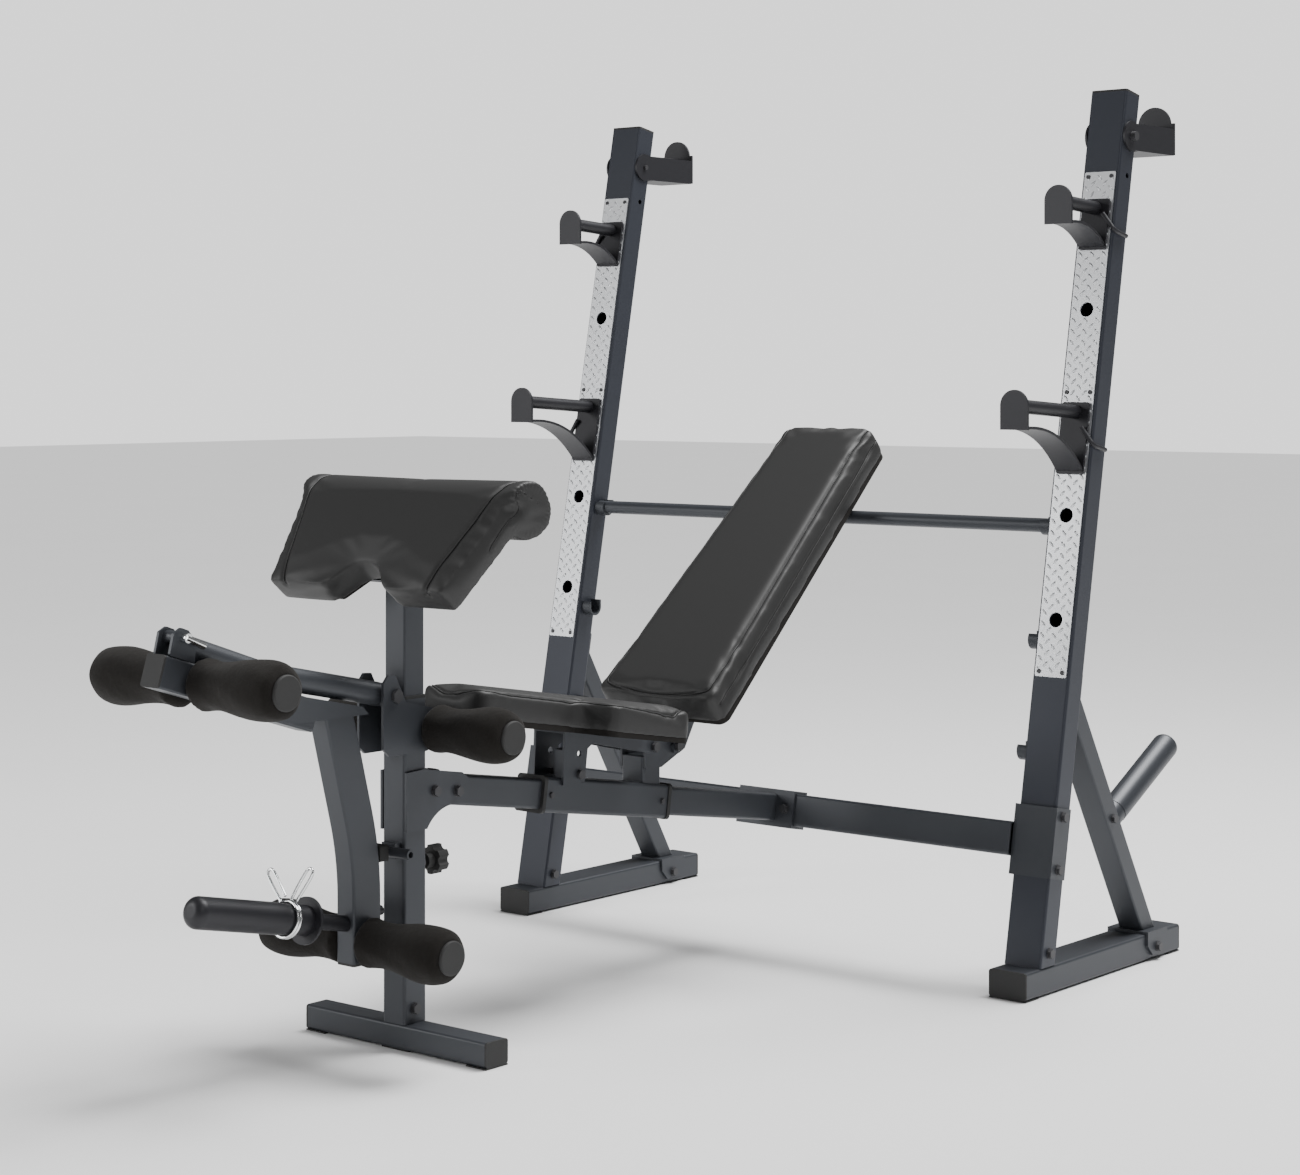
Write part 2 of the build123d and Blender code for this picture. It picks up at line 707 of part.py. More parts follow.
def build_pivot_bolts():
    """Pivot bolts of the leg developer, the seat and the backrest."""
    bolts = []
    for (y, z), r, reach in ((ARM_PIVOT, 6.0, 31.0), (SEAT_PIVOT, 5.0, 38.0), (BACK_PIVOT, 5.0, 38.0)):
        with BuildPart() as bolt:
            add(rod((-reach, y, z), (reach, y, z), r))
            for edge in SIDES:
                with BuildSketch(Plane(origin=(edge * reach, y, z), z_dir=(edge, 0, 0))):
                    RegularPolygon(r * 1.65, 6, major_radius=False)
                extrude(amount=6)
        bolts.append(bolt.part)
    return bolts


def build_stop_bar():
    """Cross bar in front of the post that the leg developer comes to rest on."""
    with BuildPart() as stop:
        add(rod((-58, -44, 322), (58, -44, 322), 8.5, 5))
        with BuildSketch(Plane(origin=(0, -25, 322), x_dir=(1, 0, 0), z_dir=(0, -1, 0))):
            Rectangle(30, 24)
        extrude(amount=12)
    return stop.part


def build_axle(at, half):
    """Tube through a pair of foam rollers."""
    y, z = at
    return rod((-half, y, z), (half, y, z), AXLE_R, AXLE_R - 2)


def build_axle_caps(at):
    """Discs that close an axle and hold the foam on it."""
    y, z = at
    caps = []
    for side in SIDES:
        with BuildPart() as cap:
            with BuildSketch(Plane(origin=(side * FOAM_X1, y, z), z_dir=(side, 0, 0))):
                Circle(CAP_R)
            extrude(amount=5)
            fillet(cap.faces().sort_by(Axis.X)[-1 if side > 0 else 0].edges(), 3)
            with BuildSketch(Plane(origin=(side * FOAM_X1, y, z), z_dir=(-side, 0, 0))):
                Circle(AXLE_R - 2.0)
            extrude(amount=16)
        caps.append(cap.part)
    return caps


def build_foam(at, side, x0):
    """Foam roller with flared ends, turning on its axle."""
    y, z = at
    x1 = FOAM_X1 - 0.4
    span = x1 - x0
    with BuildPart() as foam:
        with BuildSketch(Plane.XY):
            with BuildLine():
                Line((x0, FOAM_IN), (x0, FOAM_R - 12))
                Line((x0, FOAM_R - 12), (x0 + 9, FOAM_R - 3))
                Spline((x0 + 9, FOAM_R - 3), (x0 + span * 0.42, FOAM_R - 5), (x1 - 22, FOAM_R), (x1 - 7, FOAM_R - 4))
                Line((x1 - 7, FOAM_R - 4), (x1, FOAM_R - 13))
                Line((x1, FOAM_R - 13), (x1, FOAM_IN))
                Line((x1, FOAM_IN), (x0, FOAM_IN))
            make_face()
        revolve(axis=Axis.X)
    part = foam.part if side > 0 else foam.part.mirror(Plane.YZ)
    return part.moved(Location((0, y, z)))


def tube_cap(plane, width, depth, wall, lip=4.0, plug=12.0):
    """Plastic end cap: a rounded lip with a plug into the tube."""
    with BuildPart() as cap:
        with BuildSketch(plane):
            RectangleRounded(width, depth, TUBE_R)
        extrude(amount=lip)
        with BuildSketch(plane):
            RectangleRounded(width - 2 * wall, depth - 2 * wall, TUBE_R - wall / 2)
        extrude(amount=-plug)
    return cap.part


def build_tube_caps():
    """End caps of base tubes, foot, uprights and the seat roller axle."""
    caps = []
    for side in SIDES:
        for y, way in ((BASE_Y0 + 4, -1), (BASE_Y1 - 4, 1)):
            plane = Plane(origin=(side * UP_X, y, BASE_H / 2 + 1), x_dir=(1, 0, 0), z_dir=(0, way, 0))
            with BuildPart() as cap:
                add(tube_cap(plane, UP_W, BASE_H - 2, WALL))
                with BuildSketch(Plane.XY):
                    with Locations((side * UP_X, y - way * 18)):
                        Rectangle(UP_W, 44)
                extrude(amount=2)
            caps.append(cap.part)
        plane = Plane(origin=(side * (FOOT_HALF - 4), 0, FOOT_H / 2 + 1), x_dir=(0, 1, 0), z_dir=(side, 0, 0))
        with BuildPart() as cap:
            add(tube_cap(plane, FOOT_D, FOOT_H - 2, WALL))
            with BuildSketch(Plane.XY):
                with Locations((side * (FOOT_HALF - 22), 0)):
                    Rectangle(44, FOOT_D)
            extrude(amount=2)
        caps.append(cap.part)
        caps.append(tube_cap(up_plane(side * UP_X, UP_D / 2, UP_LEN), UP_W, UP_D, WALL, 4.0))
    with BuildPart() as middle:
        with BuildSketch(Plane.XY):
            Rectangle(60, FOOT_D - 6)
        extrude(amount=2)
    caps.append(middle.part)
    caps.extend(build_axle_caps(SEAT_AXLE))
    return caps


def build_frame_bolts():
    """Bolts, rivets and nuts of the fixed frame."""
    bolts = []
    for edge in SIDES:
        for y, z in ((40, 411), (92, 405)):
            bolts.append(hex_bolt((edge * (PLATE_X0 + PLATE_T), y, z), (edge, 0, 0), 0, 15, 6))
        for y in (-2,):
            bolts.append(hex_bolt((edge * BEAM / 2, y, 66), (edge, 0, 0), 0, 15, 6))
        for y in (SLEEVE_Y0 + 14, SLEEVE_Y1 - 14):
            bolts.append(hex_bolt((edge * SLEEVE / 2, y, beam_mid(y)), (edge, 0, 0), 0, 9, 2))
        y, z = up_point(CROSS_Y - CROSS_D / 2 - 5, CROSS_Z)
        bolts.append(hex_bolt((edge * 46, y, z), (0, -cos(lean), sin(lean)), 0, 15, 6))
    bolts.append(hex_bolt((0, 62, beam_mid(62) + BEAM / 2 / cos(tilt)), (0, sin(tilt), cos(tilt)), 0, 13, 5))
    for side in SIDES:
        for edge in SIDES:
            x = side * UP_X + edge * (UP_W / 2 + 5)
            for along in (173, 265):
                y, z = up_point(18, along)
                bolts.append(hex_bolt((x, y, z), (edge, 0, 0), 0, 15, 6))
            bolts.append(hex_bolt((x, BRACE_FOOT_Y, 24), (edge, 0, 0), 0, 15, 6))
            y, z = up_point(25, 28)
            bolts.append(hex_bolt((side * UP_X + edge * UP_W / 2, y, z), (edge, 0, 0), 0, 15, 6))
            dy, dz = BRACE_TOP_Y - BRACE_FOOT_Y, BRACE_TOP_Z - BASE_H
            mid = (276 - BASE_H) / dz
            at = (side * UP_X + edge * BRACE_W / 2, BRACE_FOOT_Y + mid * dy, 276)
            bolts.append(hex_bolt(at, (edge, 0, 0), 0, 13, 5))
        for along, spread in ((TREAD_Z1 - 9, 24), (TREAD_Z0 + 9, 24), (HOLE_TOP - 2 * HOLE_PITCH + 36, 0)):
            for offset in ((-spread, spread) if spread else (-24, 24)):
                y, z = up_point(-TREAD_T, along)
                with BuildPart() as rivet:
                    with BuildSketch(Plane(origin=(side * UP_X + offset, y, z), z_dir=(0, -cos(lean), sin(lean)))):
                        Circle(4)
                    extrude(amount=1.6)
                bolts.append(rivet.part)
    return bolts


# ---------------------------------------------------------------- preacher
def build_preacher_post():
    """Inner post, cut to the slope of the pad, with its mounting plate."""
    y0, z0 = pad_point(0, SLAB_T + 18)
    under = Plane(origin=(0, y0, z0), x_dir=(1, 0, 0), z_dir=(0, -sin(pad_a), cos(pad_a)))
    with BuildPart() as post:
        with BuildSketch(Plane.XY.offset(215)):
            RectangleRounded(INNER, INNER, 3.5)
            RectangleRounded(INNER - 4, INNER - 4, 2, mode=Mode.SUBTRACT)
        extrude(amount=600)
        split(bisect_by=under, keep=Keep.BOTTOM)
        split(bisect_by=Plane.XY.offset(814), keep=Keep.BOTTOM)
        with BuildSketch(pad_plane(SLAB_T + 18)):
            with Locations((0, 100)):
                RectangleRounded(120, 86, 8)
        extrude(amount=6)
    return post.part


def build_preacher_board():
    """Plywood board under the preacher pad."""
    with BuildPart() as board:
        with BuildSketch(pad_plane(SLAB_T + 12)) as outline:
            with BuildLine():
                Polyline((-172, 16), (-72, 16), (-30, 62), (30, 62), (72, 16), (172, 16), (212, 136), (-212, 136),
                         close=True)
            make_face()
            fillet(outline.vertices(), 10)
        extrude(amount=12)
    return board.part


def build_preacher_pad():
    """Sloping pad with a roll along the top and a notch in the lower edge."""
    a0 = pad_point(0, 0)
    a1 = pad_point(SLAB_LEN, 0)
    b1 = pad_point(SLAB_LEN, SLAB_T)
    b0 = pad_point(0, SLAB_T)
    with BuildPart() as pad:
        with BuildSketch(Plane.YZ.offset(-PAD_HALF_TOP)):
            with BuildLine():
                Polyline(a0, a1, b1, b0, close=True)
            make_face()
            with Locations((ROLL_Y, ROLL_Z)):
                Circle(ROLL_R)
        extrude(amount=2 * PAD_HALF_TOP)
        with BuildSketch(pad_plane(SLAB_T + 70)) as plan:
            with BuildLine():
                Polyline((-PAD_HALF_LOW, 0), (-64, 0), (-22, 48), (22, 48), (64, 0), (PAD_HALF_LOW, 0),
                         (PAD_HALF_TOP - 4, SLAB_LEN), (PAD_HALF_TOP - 4, SLAB_LEN + 90),
                         (-PAD_HALF_TOP + 4, SLAB_LEN + 90), (-PAD_HALF_TOP + 4, SLAB_LEN), close=True)
            make_face()
            low = plan.vertices().filter_by(lambda v: abs(v.X) > 0).sort_by(Axis.Z)
            fillet(low[0:4], 30)
            fillet(plan.vertices().sort_by(lambda v: abs(v.X))[0:2], 14)
        extrude(amount=SLAB_T + 170, mode=Mode.INTERSECT)
    return pad.part


def build_lock_knob():
    """Hand knob with a screw that bears on the inner post."""
    with BuildPart() as knob:
        with BuildSketch(Plane(origin=(0, INNER / 2 + 0.15, 294), x_dir=(1, 0, 0), z_dir=(0, 1, 0))):
            Circle(5.0)
        extrude(amount=40)
        with BuildSketch(Plane(origin=(0, 44, 294), x_dir=(1, 0, 0), z_dir=(0, 1, 0))):
            Circle(13)
        extrude(amount=14)
        with BuildSketch(Plane(origin=(0, 58, 294), x_dir=(1, 0, 0), z_dir=(0, 1, 0))):
            Circle(24)
            with PolarLocations(27, 6):
                Circle(8, mode=Mode.SUBTRACT)
        extrude(amount=22)
    return knob.part


# ---------------------------------------------------------------- seat
def seat_outline(grow):
    """Plan points of the seat, narrow nose first, local y to the rear."""
    n, w = NOSE_HALF + grow, SEAT_HALF + grow
    return [(-n, -grow), (n, -grow), (n, SEAT_NECK - grow), (w, SEAT_NECK - grow), (w, SEAT_LEN + grow),
            (-w, SEAT_LEN + grow), (-w, SEAT_NECK - grow), (-n, SEAT_NECK - grow)]


def seat_slab(h, thickness, grow, corner):
    """Slab with the seat's plan; local y is flipped because the plane faces up."""
    plane = seat_plane(h)
    way = 1 if plane.y_dir.Y > 0 else -1
    with BuildPart() as slab:
        with BuildSketch(plane) as plan:
            with BuildLine():
                Polyline(*[(x, way * y) for x, y in seat_outline(grow)], close=True)
            make_face()
            fillet(plan.vertices(), corner)
        extrude(amount=thickness)
    return slab


def build_seat_pad():
    """Seat cushion."""
    slab = seat_slab(BOARD_T, SEAT_PAD, 0, 26)
    with BuildPart() as pad:
        add(slab.part)
        top = pad.faces().sort_by(Axis((0, 0, 0), (0, sin(seat_a), cos(seat_a))))[-1]
        fillet(top.edges(), 9)
    return pad.part


def build_seat_board():
    """Plywood board of the seat."""
    return seat_slab(0, BOARD_T, -5, 20).part


def build_seat_frame():
    """Web and side plates under the seat, with the front adjusting legs."""
    pieces = []
    w0, w1 = 258.0, 494.0
    plane = seat_plane(-4)
    way = 1 if plane.y_dir.Y > 0 else -1
    with BuildPart() as web:
        with BuildSketch(plane):
            with Locations((0, way * (w0 + w1) / 2)):
                Rectangle(72, w1 - w0)
        extrude(amount=4)
    pieces.append(web.part)
    a = seat_point(w0, -1)
    b = seat_point(w1 + 6, -1)
    py, pz = SEAT_PIVOT
    pts = [a, b, (py + 12, pz - 4), (py + 5, pz - 12), (py - 8, pz - 12), (424, 448), (410, 440), (402, 384),
           (346, 384)]
    holes = [(py, pz, 5.06), (388, 434, 5.5), (388, 398, 5.3)]
    for edge in SIDES:
        x0 = 31.0 if edge > 0 else -36.0
        pieces.append(yz_plate(pts, x0, 5.0, 0.0, holes))
    with BuildPart() as frame:
        for piece in pieces:
            add(piece)
    return frame.part


def build_seat_pin():
    """Bolt through both adjusting legs and the block on the sleeve."""
    with BuildPart() as pin:
        add(rod((-41, 388, 398), (41, 388, 398), 4.9))
        for edge in SIDES:
            add(rod((edge * 36.2, 388, 398), (edge * 43, 388, 398), 8.0))
    return pin.part


# ---------------------------------------------------------------- backrest
def back_slab(depth, thickness, grow, corner):
    """Tapered slab parallel to the backrest face."""
    low, top = BACK_HALF_LOW + grow, BACK_HALF_TOP + grow
    with BuildPart() as slab:
        with BuildSketch(back_plane(depth)) as plan:
            with BuildLine():
                Line((-low, -grow), (low, -grow))
                Line((low, -grow), (top, BACK_LEN + grow - 12))
                ThreePointArc((top, BACK_LEN + grow - 12), (0, BACK_LEN + grow), (-top, BACK_LEN + grow - 12))
                Line((-top, BACK_LEN + grow - 12), (-low, -grow))
            make_face()
            fillet(plan.vertices(), corner)
        extrude(amount=thickness)
    return slab


def build_back_pad():
    """Backrest cushion."""
    slab = back_slab(BACK_PAD, BACK_PAD, 0, 24)
    with BuildPart() as pad:
        add(slab.part)
        face = pad.faces().sort_by(Axis((0, 0, 0), (0, -sin(back_a), cos(back_a))))[-1]
        fillet(face.edges(), 9)
    return pad.part


def build_back_board():
    """Plywood board of the backrest."""
    return back_slab(BACK_PAD + BACK_BOARD, BACK_BOARD, -6, 18).part


def build_back_frame():
    """Two rails behind the backrest, a low cross plate and the pivot lugs."""
    depth = BACK_PAD + BACK_BOARD
    pieces = []
    for side in SIDES:
        with BuildPart() as rail:
            with BuildSketch(back_plane(depth + RAIL_T)):
                with Locations((side * 60, 335)):
                    RectangleRounded(30, 630, 4)
            extrude(amount=RAIL_T)
        pieces.append(rail.part)
    for s0, s1 in ((22, 70), (560, 600)):
        with BuildPart() as tie:
            with BuildSketch(back_plane(depth + 5)):
                with Locations((0, (s0 + s1) / 2)):
                    Rectangle(150 if s0 > 100 else 120, s1 - s0)
            extrude(amount=5)
        pieces.append(tie.part)
    py, pz = BACK_PIVOT
    a = back_point(26, depth + 4)
    b = back_point(92, depth + 4)
    pts = [a, b, (py + 22, pz - 6), (py + 6, pz - 13), (py - 8, pz - 11), (py - 13, pz + 2)]
    for edge in SIDES:
        x0 = 31.0 if edge > 0 else -36.0
        pieces.append(yz_plate(pts, x0, 5.0, 0.0, [(py, pz, 5.06)]))
    with BuildPart() as joiner:
        with BuildSketch(back_plane(depth + 5)):
            with Locations((0, 81)):
                Rectangle(120, 26)
        extrude(amount=5)
    pieces.append(joiner.part)
    with BuildPart() as frame:
        for piece in pieces:
            add(piece)
    return frame.part


# ---------------------------------------------------------------- leg developer
def build_arm_upper():
    """Straight tube under the link tube that carries the front rollers."""
    direction = (0, cos(arm_a), -sin(arm_a))
    start = (0, *ARM_END)
    ay, az = ROLL_AXLE[0]
    with BuildPart() as arm:
        with BuildSketch(Plane(origin=start, x_dir=(1, 0, 0), z_dir=direction)):
            RectangleRounded(ARM_W, ARM_H, 4)
            RectangleRounded(ARM_W - 4, ARM_H - 4, 2, mode=Mode.SUBTRACT)
        extrude(amount=318)
        with BuildSketch(Plane.YZ.offset(-ARM_W)):
            with Locations((ay, az)):
                Circle(AXLE_R)
        extrude(amount=2 * ARM_W, mode=Mode.SUBTRACT)
    return arm.part


def build_arm_lower():
    """Hanging tube, bent forward at the top, with its gusset plates."""
    ay, az = ROLL_AXLE[1]
    with BuildPart() as arm:
        with BuildLine() as path:
            FilletPolyline((0, -102, 157), (0, -102, 322), (0, -164, 558), radius=520)
        with BuildSketch(Plane(origin=(0, -102, 157), x_dir=(1, 0, 0), z_dir=(0, 0, 1))):
            RectangleRounded(ARM_W, LOW_D, 4)
        sweep(path=path.line)
        with BuildSketch(Plane(origin=(0, -102, 157), x_dir=(1, 0, 0), z_dir=(0, 0, 1))):
            RectangleRounded(ARM_W - 5, LOW_D - 5, 2)
        sweep(path=path.line, mode=Mode.SUBTRACT)
        with BuildSketch(Plane.YZ.offset(-ARM_W)):
            with Locations((ay, az)):
                Circle(AXLE_R)
        extrude(amount=2 * ARM_W, mode=Mode.SUBTRACT)
    pts = [(-300, 558), (-262, 549), (-104, 549), (-116, 562), (-235, 588), (-300, 604)]
    with BuildPart() as whole:
        add(arm.part)
        for edge in SIDES:
            x0 = ARM_W / 2 if edge > 0 else -ARM_W / 2 - 4
            add(yz_plate(pts, x0, 4.0))
    return whole.part


def build_arm_link():
    """Bent round tube from the pivot barrel to the front clevis."""
    py, pz = ARM_PIVOT
    with BuildPart() as link:
        with BuildLine() as path:
            FilletPolyline((0, py - 14, pz + 3), (0, -300, 626), (0, -466, 683), radius=260)
        with BuildSketch(Plane(origin=path.line @ 0, z_dir=path.line % 0)):
            Circle(LINK_R)
        sweep(path=path.line)
        with BuildSketch(Plane(origin=path.line @ 0, z_dir=path.line % 0)):
            Circle(LINK_R - 3)
        sweep(path=path.line, mode=Mode.SUBTRACT)
        add(rod((-24.8, py, pz), (24.8, py, pz), LINK_R))
        with BuildSketch(Plane.YZ.offset(-30)):
            with Locations((py, pz)):
                Circle(6.06)
        extrude(amount=60, mode=Mode.SUBTRACT)
    ears = [(-504, 674), (-456, 658), (-454, 690), (-468, 708), (-482, 713), (-496, 706)]
    with BuildPart() as whole:
        add(link.part)
        for x0 in (-19.0, 14.0):
            add(yz_plate(ears, x0, 5.0, 3.0))
        add(rod((-14.2, -480, 698), (14.2, -480, 698), 9.5))
        add(rod((-30, -480, 698), (30, -480, 698), 5.1), mode=Mode.SUBTRACT)
        direction = (0, cos(arm_a), -sin(arm_a))
        with BuildSketch(Plane(origin=(0, *ARM_END), x_dir=(1, 0, 0), z_dir=direction)):
            Rectangle(ARM_W + 2, ARM_H)
        extrude(amount=330, mode=Mode.SUBTRACT)
    return whole.part


def build_clevis_pin():
    """Bright pin with a bent handle through the front clevis."""
    with BuildPart() as pin:
        add(rod((-22, -480, 698), (29, -480, 698), 5.03))
        add(rod((29, -483, 699), (29, -447, 684), 5.5))
        add(rod((25, -480, 698), (33, -480, 698), 7.0))
    return pin.part


def build_arm_caps():
    """Plugs of the arm tubes and end discs of the roller axles."""
    direction = (0, -cos(arm_a), sin(arm_a))
    caps = [tube_cap(Plane(origin=(0, *ARM_END), x_dir=(1, 0, 0), z_dir=direction), ARM_W, ARM_H, 2.0, 4.0, 14.0)]
    low = Plane(origin=(0, -102, 157), x_dir=(1, 0, 0), z_dir=(0, 0, -1))
    caps.append(tube_cap(low, ARM_W, LOW_D, 2.5, 4.0, 12.0))
    for at in ROLL_AXLE:
        caps.extend(build_axle_caps(at))
    return caps


def weight_point(d):
    """Point on the weight post's axis, d in front of the lower tube."""
    return (0, WEIGHT_Y - d * cos(weight_a), WEIGHT_Z + d * sin(weight_a))


def build_weight_post():
    """Core bar of the weight post with its rear stub bolt."""
    with BuildPart() as post:
        add(rod(weight_point(-6), weight_point(300), AXLE_R, AXLE_R - 2.5))
        split(bisect_by=Plane.XZ.offset(-WEIGHT_Y), keep=Keep.TOP)
        add(rod((0, -72, 229), (0, -54, 229), 8))
    return post.part


def build_weight_sleeve():
    """Thick sleeve with a flange and a domed end on the core bar."""
    with BuildPart() as sleeve:
        with BuildSketch(Plane(origin=weight_point(84), z_dir=Vector(*weight_point(1)) - Vector(*weight_point(0)))):
            Circle(37)
            Circle(AXLE_R, mode=Mode.SUBTRACT)
        extrude(amount=5)
        with BuildSketch(Plane(origin=weight_point(89), z_dir=Vector(*weight_point(1)) - Vector(*weight_point(0)))):
            Circle(24.8)
        extrude(amount=236)
        tip = sleeve.faces().sort_by(Axis((0, 0, 0), (0, -cos(weight_a), sin(weight_a))))[-1]
        fillet(tip.edges(), 16)
        with BuildSketch(Plane(origin=weight_point(88), z_dir=Vector(*weight_point(1)) - Vector(*weight_point(0)))):
            Circle(AXLE_R)
        extrude(amount=212, mode=Mode.SUBTRACT)
        with BuildSketch(Plane(origin=weight_point(104), z_dir=Vector(*weight_point(1)) - Vector(*weight_point(0)))):
            Circle(21.8)
        extrude(amount=184, mode=Mode.SUBTRACT)
        with BuildSketch(Plane(origin=weight_point(89), z_dir=Vector(*weight_point(1)) - Vector(*weight_point(0)))):
            Circle(30)
            Circle(24.0, mode=Mode.SUBTRACT)
        extrude(amount=51, mode=Mode.SUBTRACT)
    return sleeve.part


def build_spring_clip():
    """Wire ring with two raised handle loops on the weight sleeve."""
    at = Vector(*weight_point(128))
    axis = Vector(*weight_point(1)) - Vector(*weight_point(0))
    up = Vector(0, sin(weight_a), cos(weight_a))
    across = Vector(1, 0, 0)
    pieces = [rod(at - axis * 6, at + axis * 6, 30.0, 24.9)]
    for angle, reach, shift in ((-46.0, 62.0, 3.0), (30.0, 62.0, -3.0)):
        a = radians(angle)
        out = across * sin(a) + up * cos(a)
        side = across * cos(a) - up * sin(a)
        p0 = at + axis * shift + up * 22 + out * 6
        ends = [p0 - side * 6, p0 - side * 7 + out * reach, p0 + side * 7 + out * reach, p0 + side * 6]
        with BuildPart() as loop:
            with BuildLine() as path:
                FilletPolyline(*[tuple(e) for e in ends], radius=6)
            with BuildSketch(Plane(origin=path.line @ 0, z_dir=path.line % 0)):
                Circle(2.4)
            sweep(path=path.line)
        pieces.append(loop.part)
    with BuildPart() as clip:
        for piece in pieces:
            add(piece)
        with BuildSketch(Plane(origin=at - axis * 20, z_dir=axis)):
            Circle(24.9)
        extrude(amount=40, mode=Mode.SUBTRACT)
    return clip.part


def build_bumper():
    """Rubber block on the back of the lower tube."""
    with BuildPart() as block:
        with BuildSketch(Plane(origin=(0, -72, 322), x_dir=(1, 0, 0), z_dir=(0, 1, 0))):
            RectangleRounded(34, 26, 4)
        extrude(amount=19.3)
    return block.part


# ---------------------------------------------------------------- write the parts
def main():
    for side, word in ((-1, "left"), (1, "right")):
        save(build_base_tube(side), f"base_tube_{word}")
        save(build_upright(side), f"upright_{word}")
        save(build_catch(side, HOLE_TOP, 132.0, HOLE_TOP + 17, HOLE_TOP - 78), f"catch_upper_{word}")
        low = HOLE_TOP - 2 * HOLE_PITCH
        save(build_catch(side, low, 208.0, low + 17, low - 114), f"catch_lower_{word}")
    save(grouped([build_tread_plate(side) for side in SIDES]), "tread_plates")
    save(grouped([build_brace(side) for side in SIDES]), "rear_braces")
    save(grouped([p for side in SIDES for p in build_brace_mounts(side)]), "brace_brackets")
    save(grouped([build_peg(side) for side in SIDES]), "storage_pegs")
    save(build_cross_member(), "cross_member")
    brackets = [build_cross_bracket(side) for side in SIDES] + [build_beam_bracket()]
    save(grouped(brackets), "cross_brackets")
    save(grouped(build_inner_hooks()), "inner_hooks")
    save(build_cross_bar(), "cross_bar")
    save(grouped([build_rear_hook(side) for side in SIDES]), "rear_hooks")
    save(build_hook_pin(-1), "hook_pin_left")
    save(build_hook_pin(1), "hook_pin_right")
    save(build_main_beam(), "main_beam")
    save(build_sleeve(), "seat_sleeve")
    save(grouped(build_collars()), "plastic_collars")
    save(build_seat_post(), "seat_post")
    save(build_front_post(), "front_post")
    save(build_front_foot(), "front_foot")
    save(grouped(build_gussets()), "post_gussets")
    save(grouped(build_side_plates()), "side_plates")
    save(grouped(build_pivot_bolts()), "pivot_bolts")
    save(build_stop_bar(), "stop_bar")
    save(build_axle(SEAT_AXLE, FOAM_X1), "seat_axle")
    save(grouped(build_tube_caps()), "tube_caps")
    save(grouped(build_frame_bolts()), "frame_bolts")
    save(build_preacher_post(), "preacher_post")
    save(build_preacher_board(), "preacher_board")
    save(build_preacher_pad(), "preacher_pad")
    save(build_lock_knob(), "lock_knob")
    save(build_seat_pad(), "seat_pad")
    save(build_seat_board(), "seat_board")
    save(build_seat_frame(), "seat_frame")
    save(build_seat_pin(), "seat_pin")
    save(build_back_pad(), "back_pad")
    save(build_back_board(), "back_board")
    save(build_back_frame(), "back_frame")
    save(build_arm_upper(), "arm_upper")
    save(build_arm_lower(), "arm_lower")
    save(build_arm_link(), "arm_link")
    save(build_clevis_pin(), "clevis_pin")
    save(grouped(build_arm_caps()), "arm_caps")
    axles = [build_axle(at, FOAM_X1) for at in ROLL_AXLE]
    save(grouped(axles), "arm_axles")
    save(build_weight_post(), "weight_post")
    save(build_weight_sleeve(), "weight_sleeve")
    save(build_spring_clip(), "spring_clip")
    save(build_bumper(), "arm_bumper")
    for at, inner, word in ((ROLL_AXLE[0], 20.6, "front"), (ROLL_AXLE[1], 20.6, "low"), (SEAT_AXLE, 30.6, "seat")):
        save(build_foam(at, 1, inner), f"foam_{word}_right")
        save(build_foam(at, -1, inner), f"foam_{word}_left")


main()
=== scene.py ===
import json
import logging
import math
from dataclasses import dataclass
from enum import Enum
from typing import Callable, Iterable, Optional, Sequence

import bmesh
import bpy
from mathutils import Matrix, Vector
from mathutils.bvhtree import BVHTree


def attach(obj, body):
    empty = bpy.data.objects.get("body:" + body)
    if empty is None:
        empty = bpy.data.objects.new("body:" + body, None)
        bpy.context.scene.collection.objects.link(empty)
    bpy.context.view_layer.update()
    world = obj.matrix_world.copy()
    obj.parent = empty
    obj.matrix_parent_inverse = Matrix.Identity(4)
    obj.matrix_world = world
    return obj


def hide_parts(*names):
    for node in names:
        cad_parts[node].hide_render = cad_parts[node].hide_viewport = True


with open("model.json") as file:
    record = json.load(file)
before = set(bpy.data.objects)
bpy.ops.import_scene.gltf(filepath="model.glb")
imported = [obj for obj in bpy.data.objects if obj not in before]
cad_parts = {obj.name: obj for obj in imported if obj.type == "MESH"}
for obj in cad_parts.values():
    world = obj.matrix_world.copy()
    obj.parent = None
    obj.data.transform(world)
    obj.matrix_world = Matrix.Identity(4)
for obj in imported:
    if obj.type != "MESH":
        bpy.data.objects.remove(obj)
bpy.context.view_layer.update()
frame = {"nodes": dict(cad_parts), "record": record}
LOG = logging.getLogger("weight_bench")

Colour = tuple[float, float, float]
Point = tuple[float, float, float]


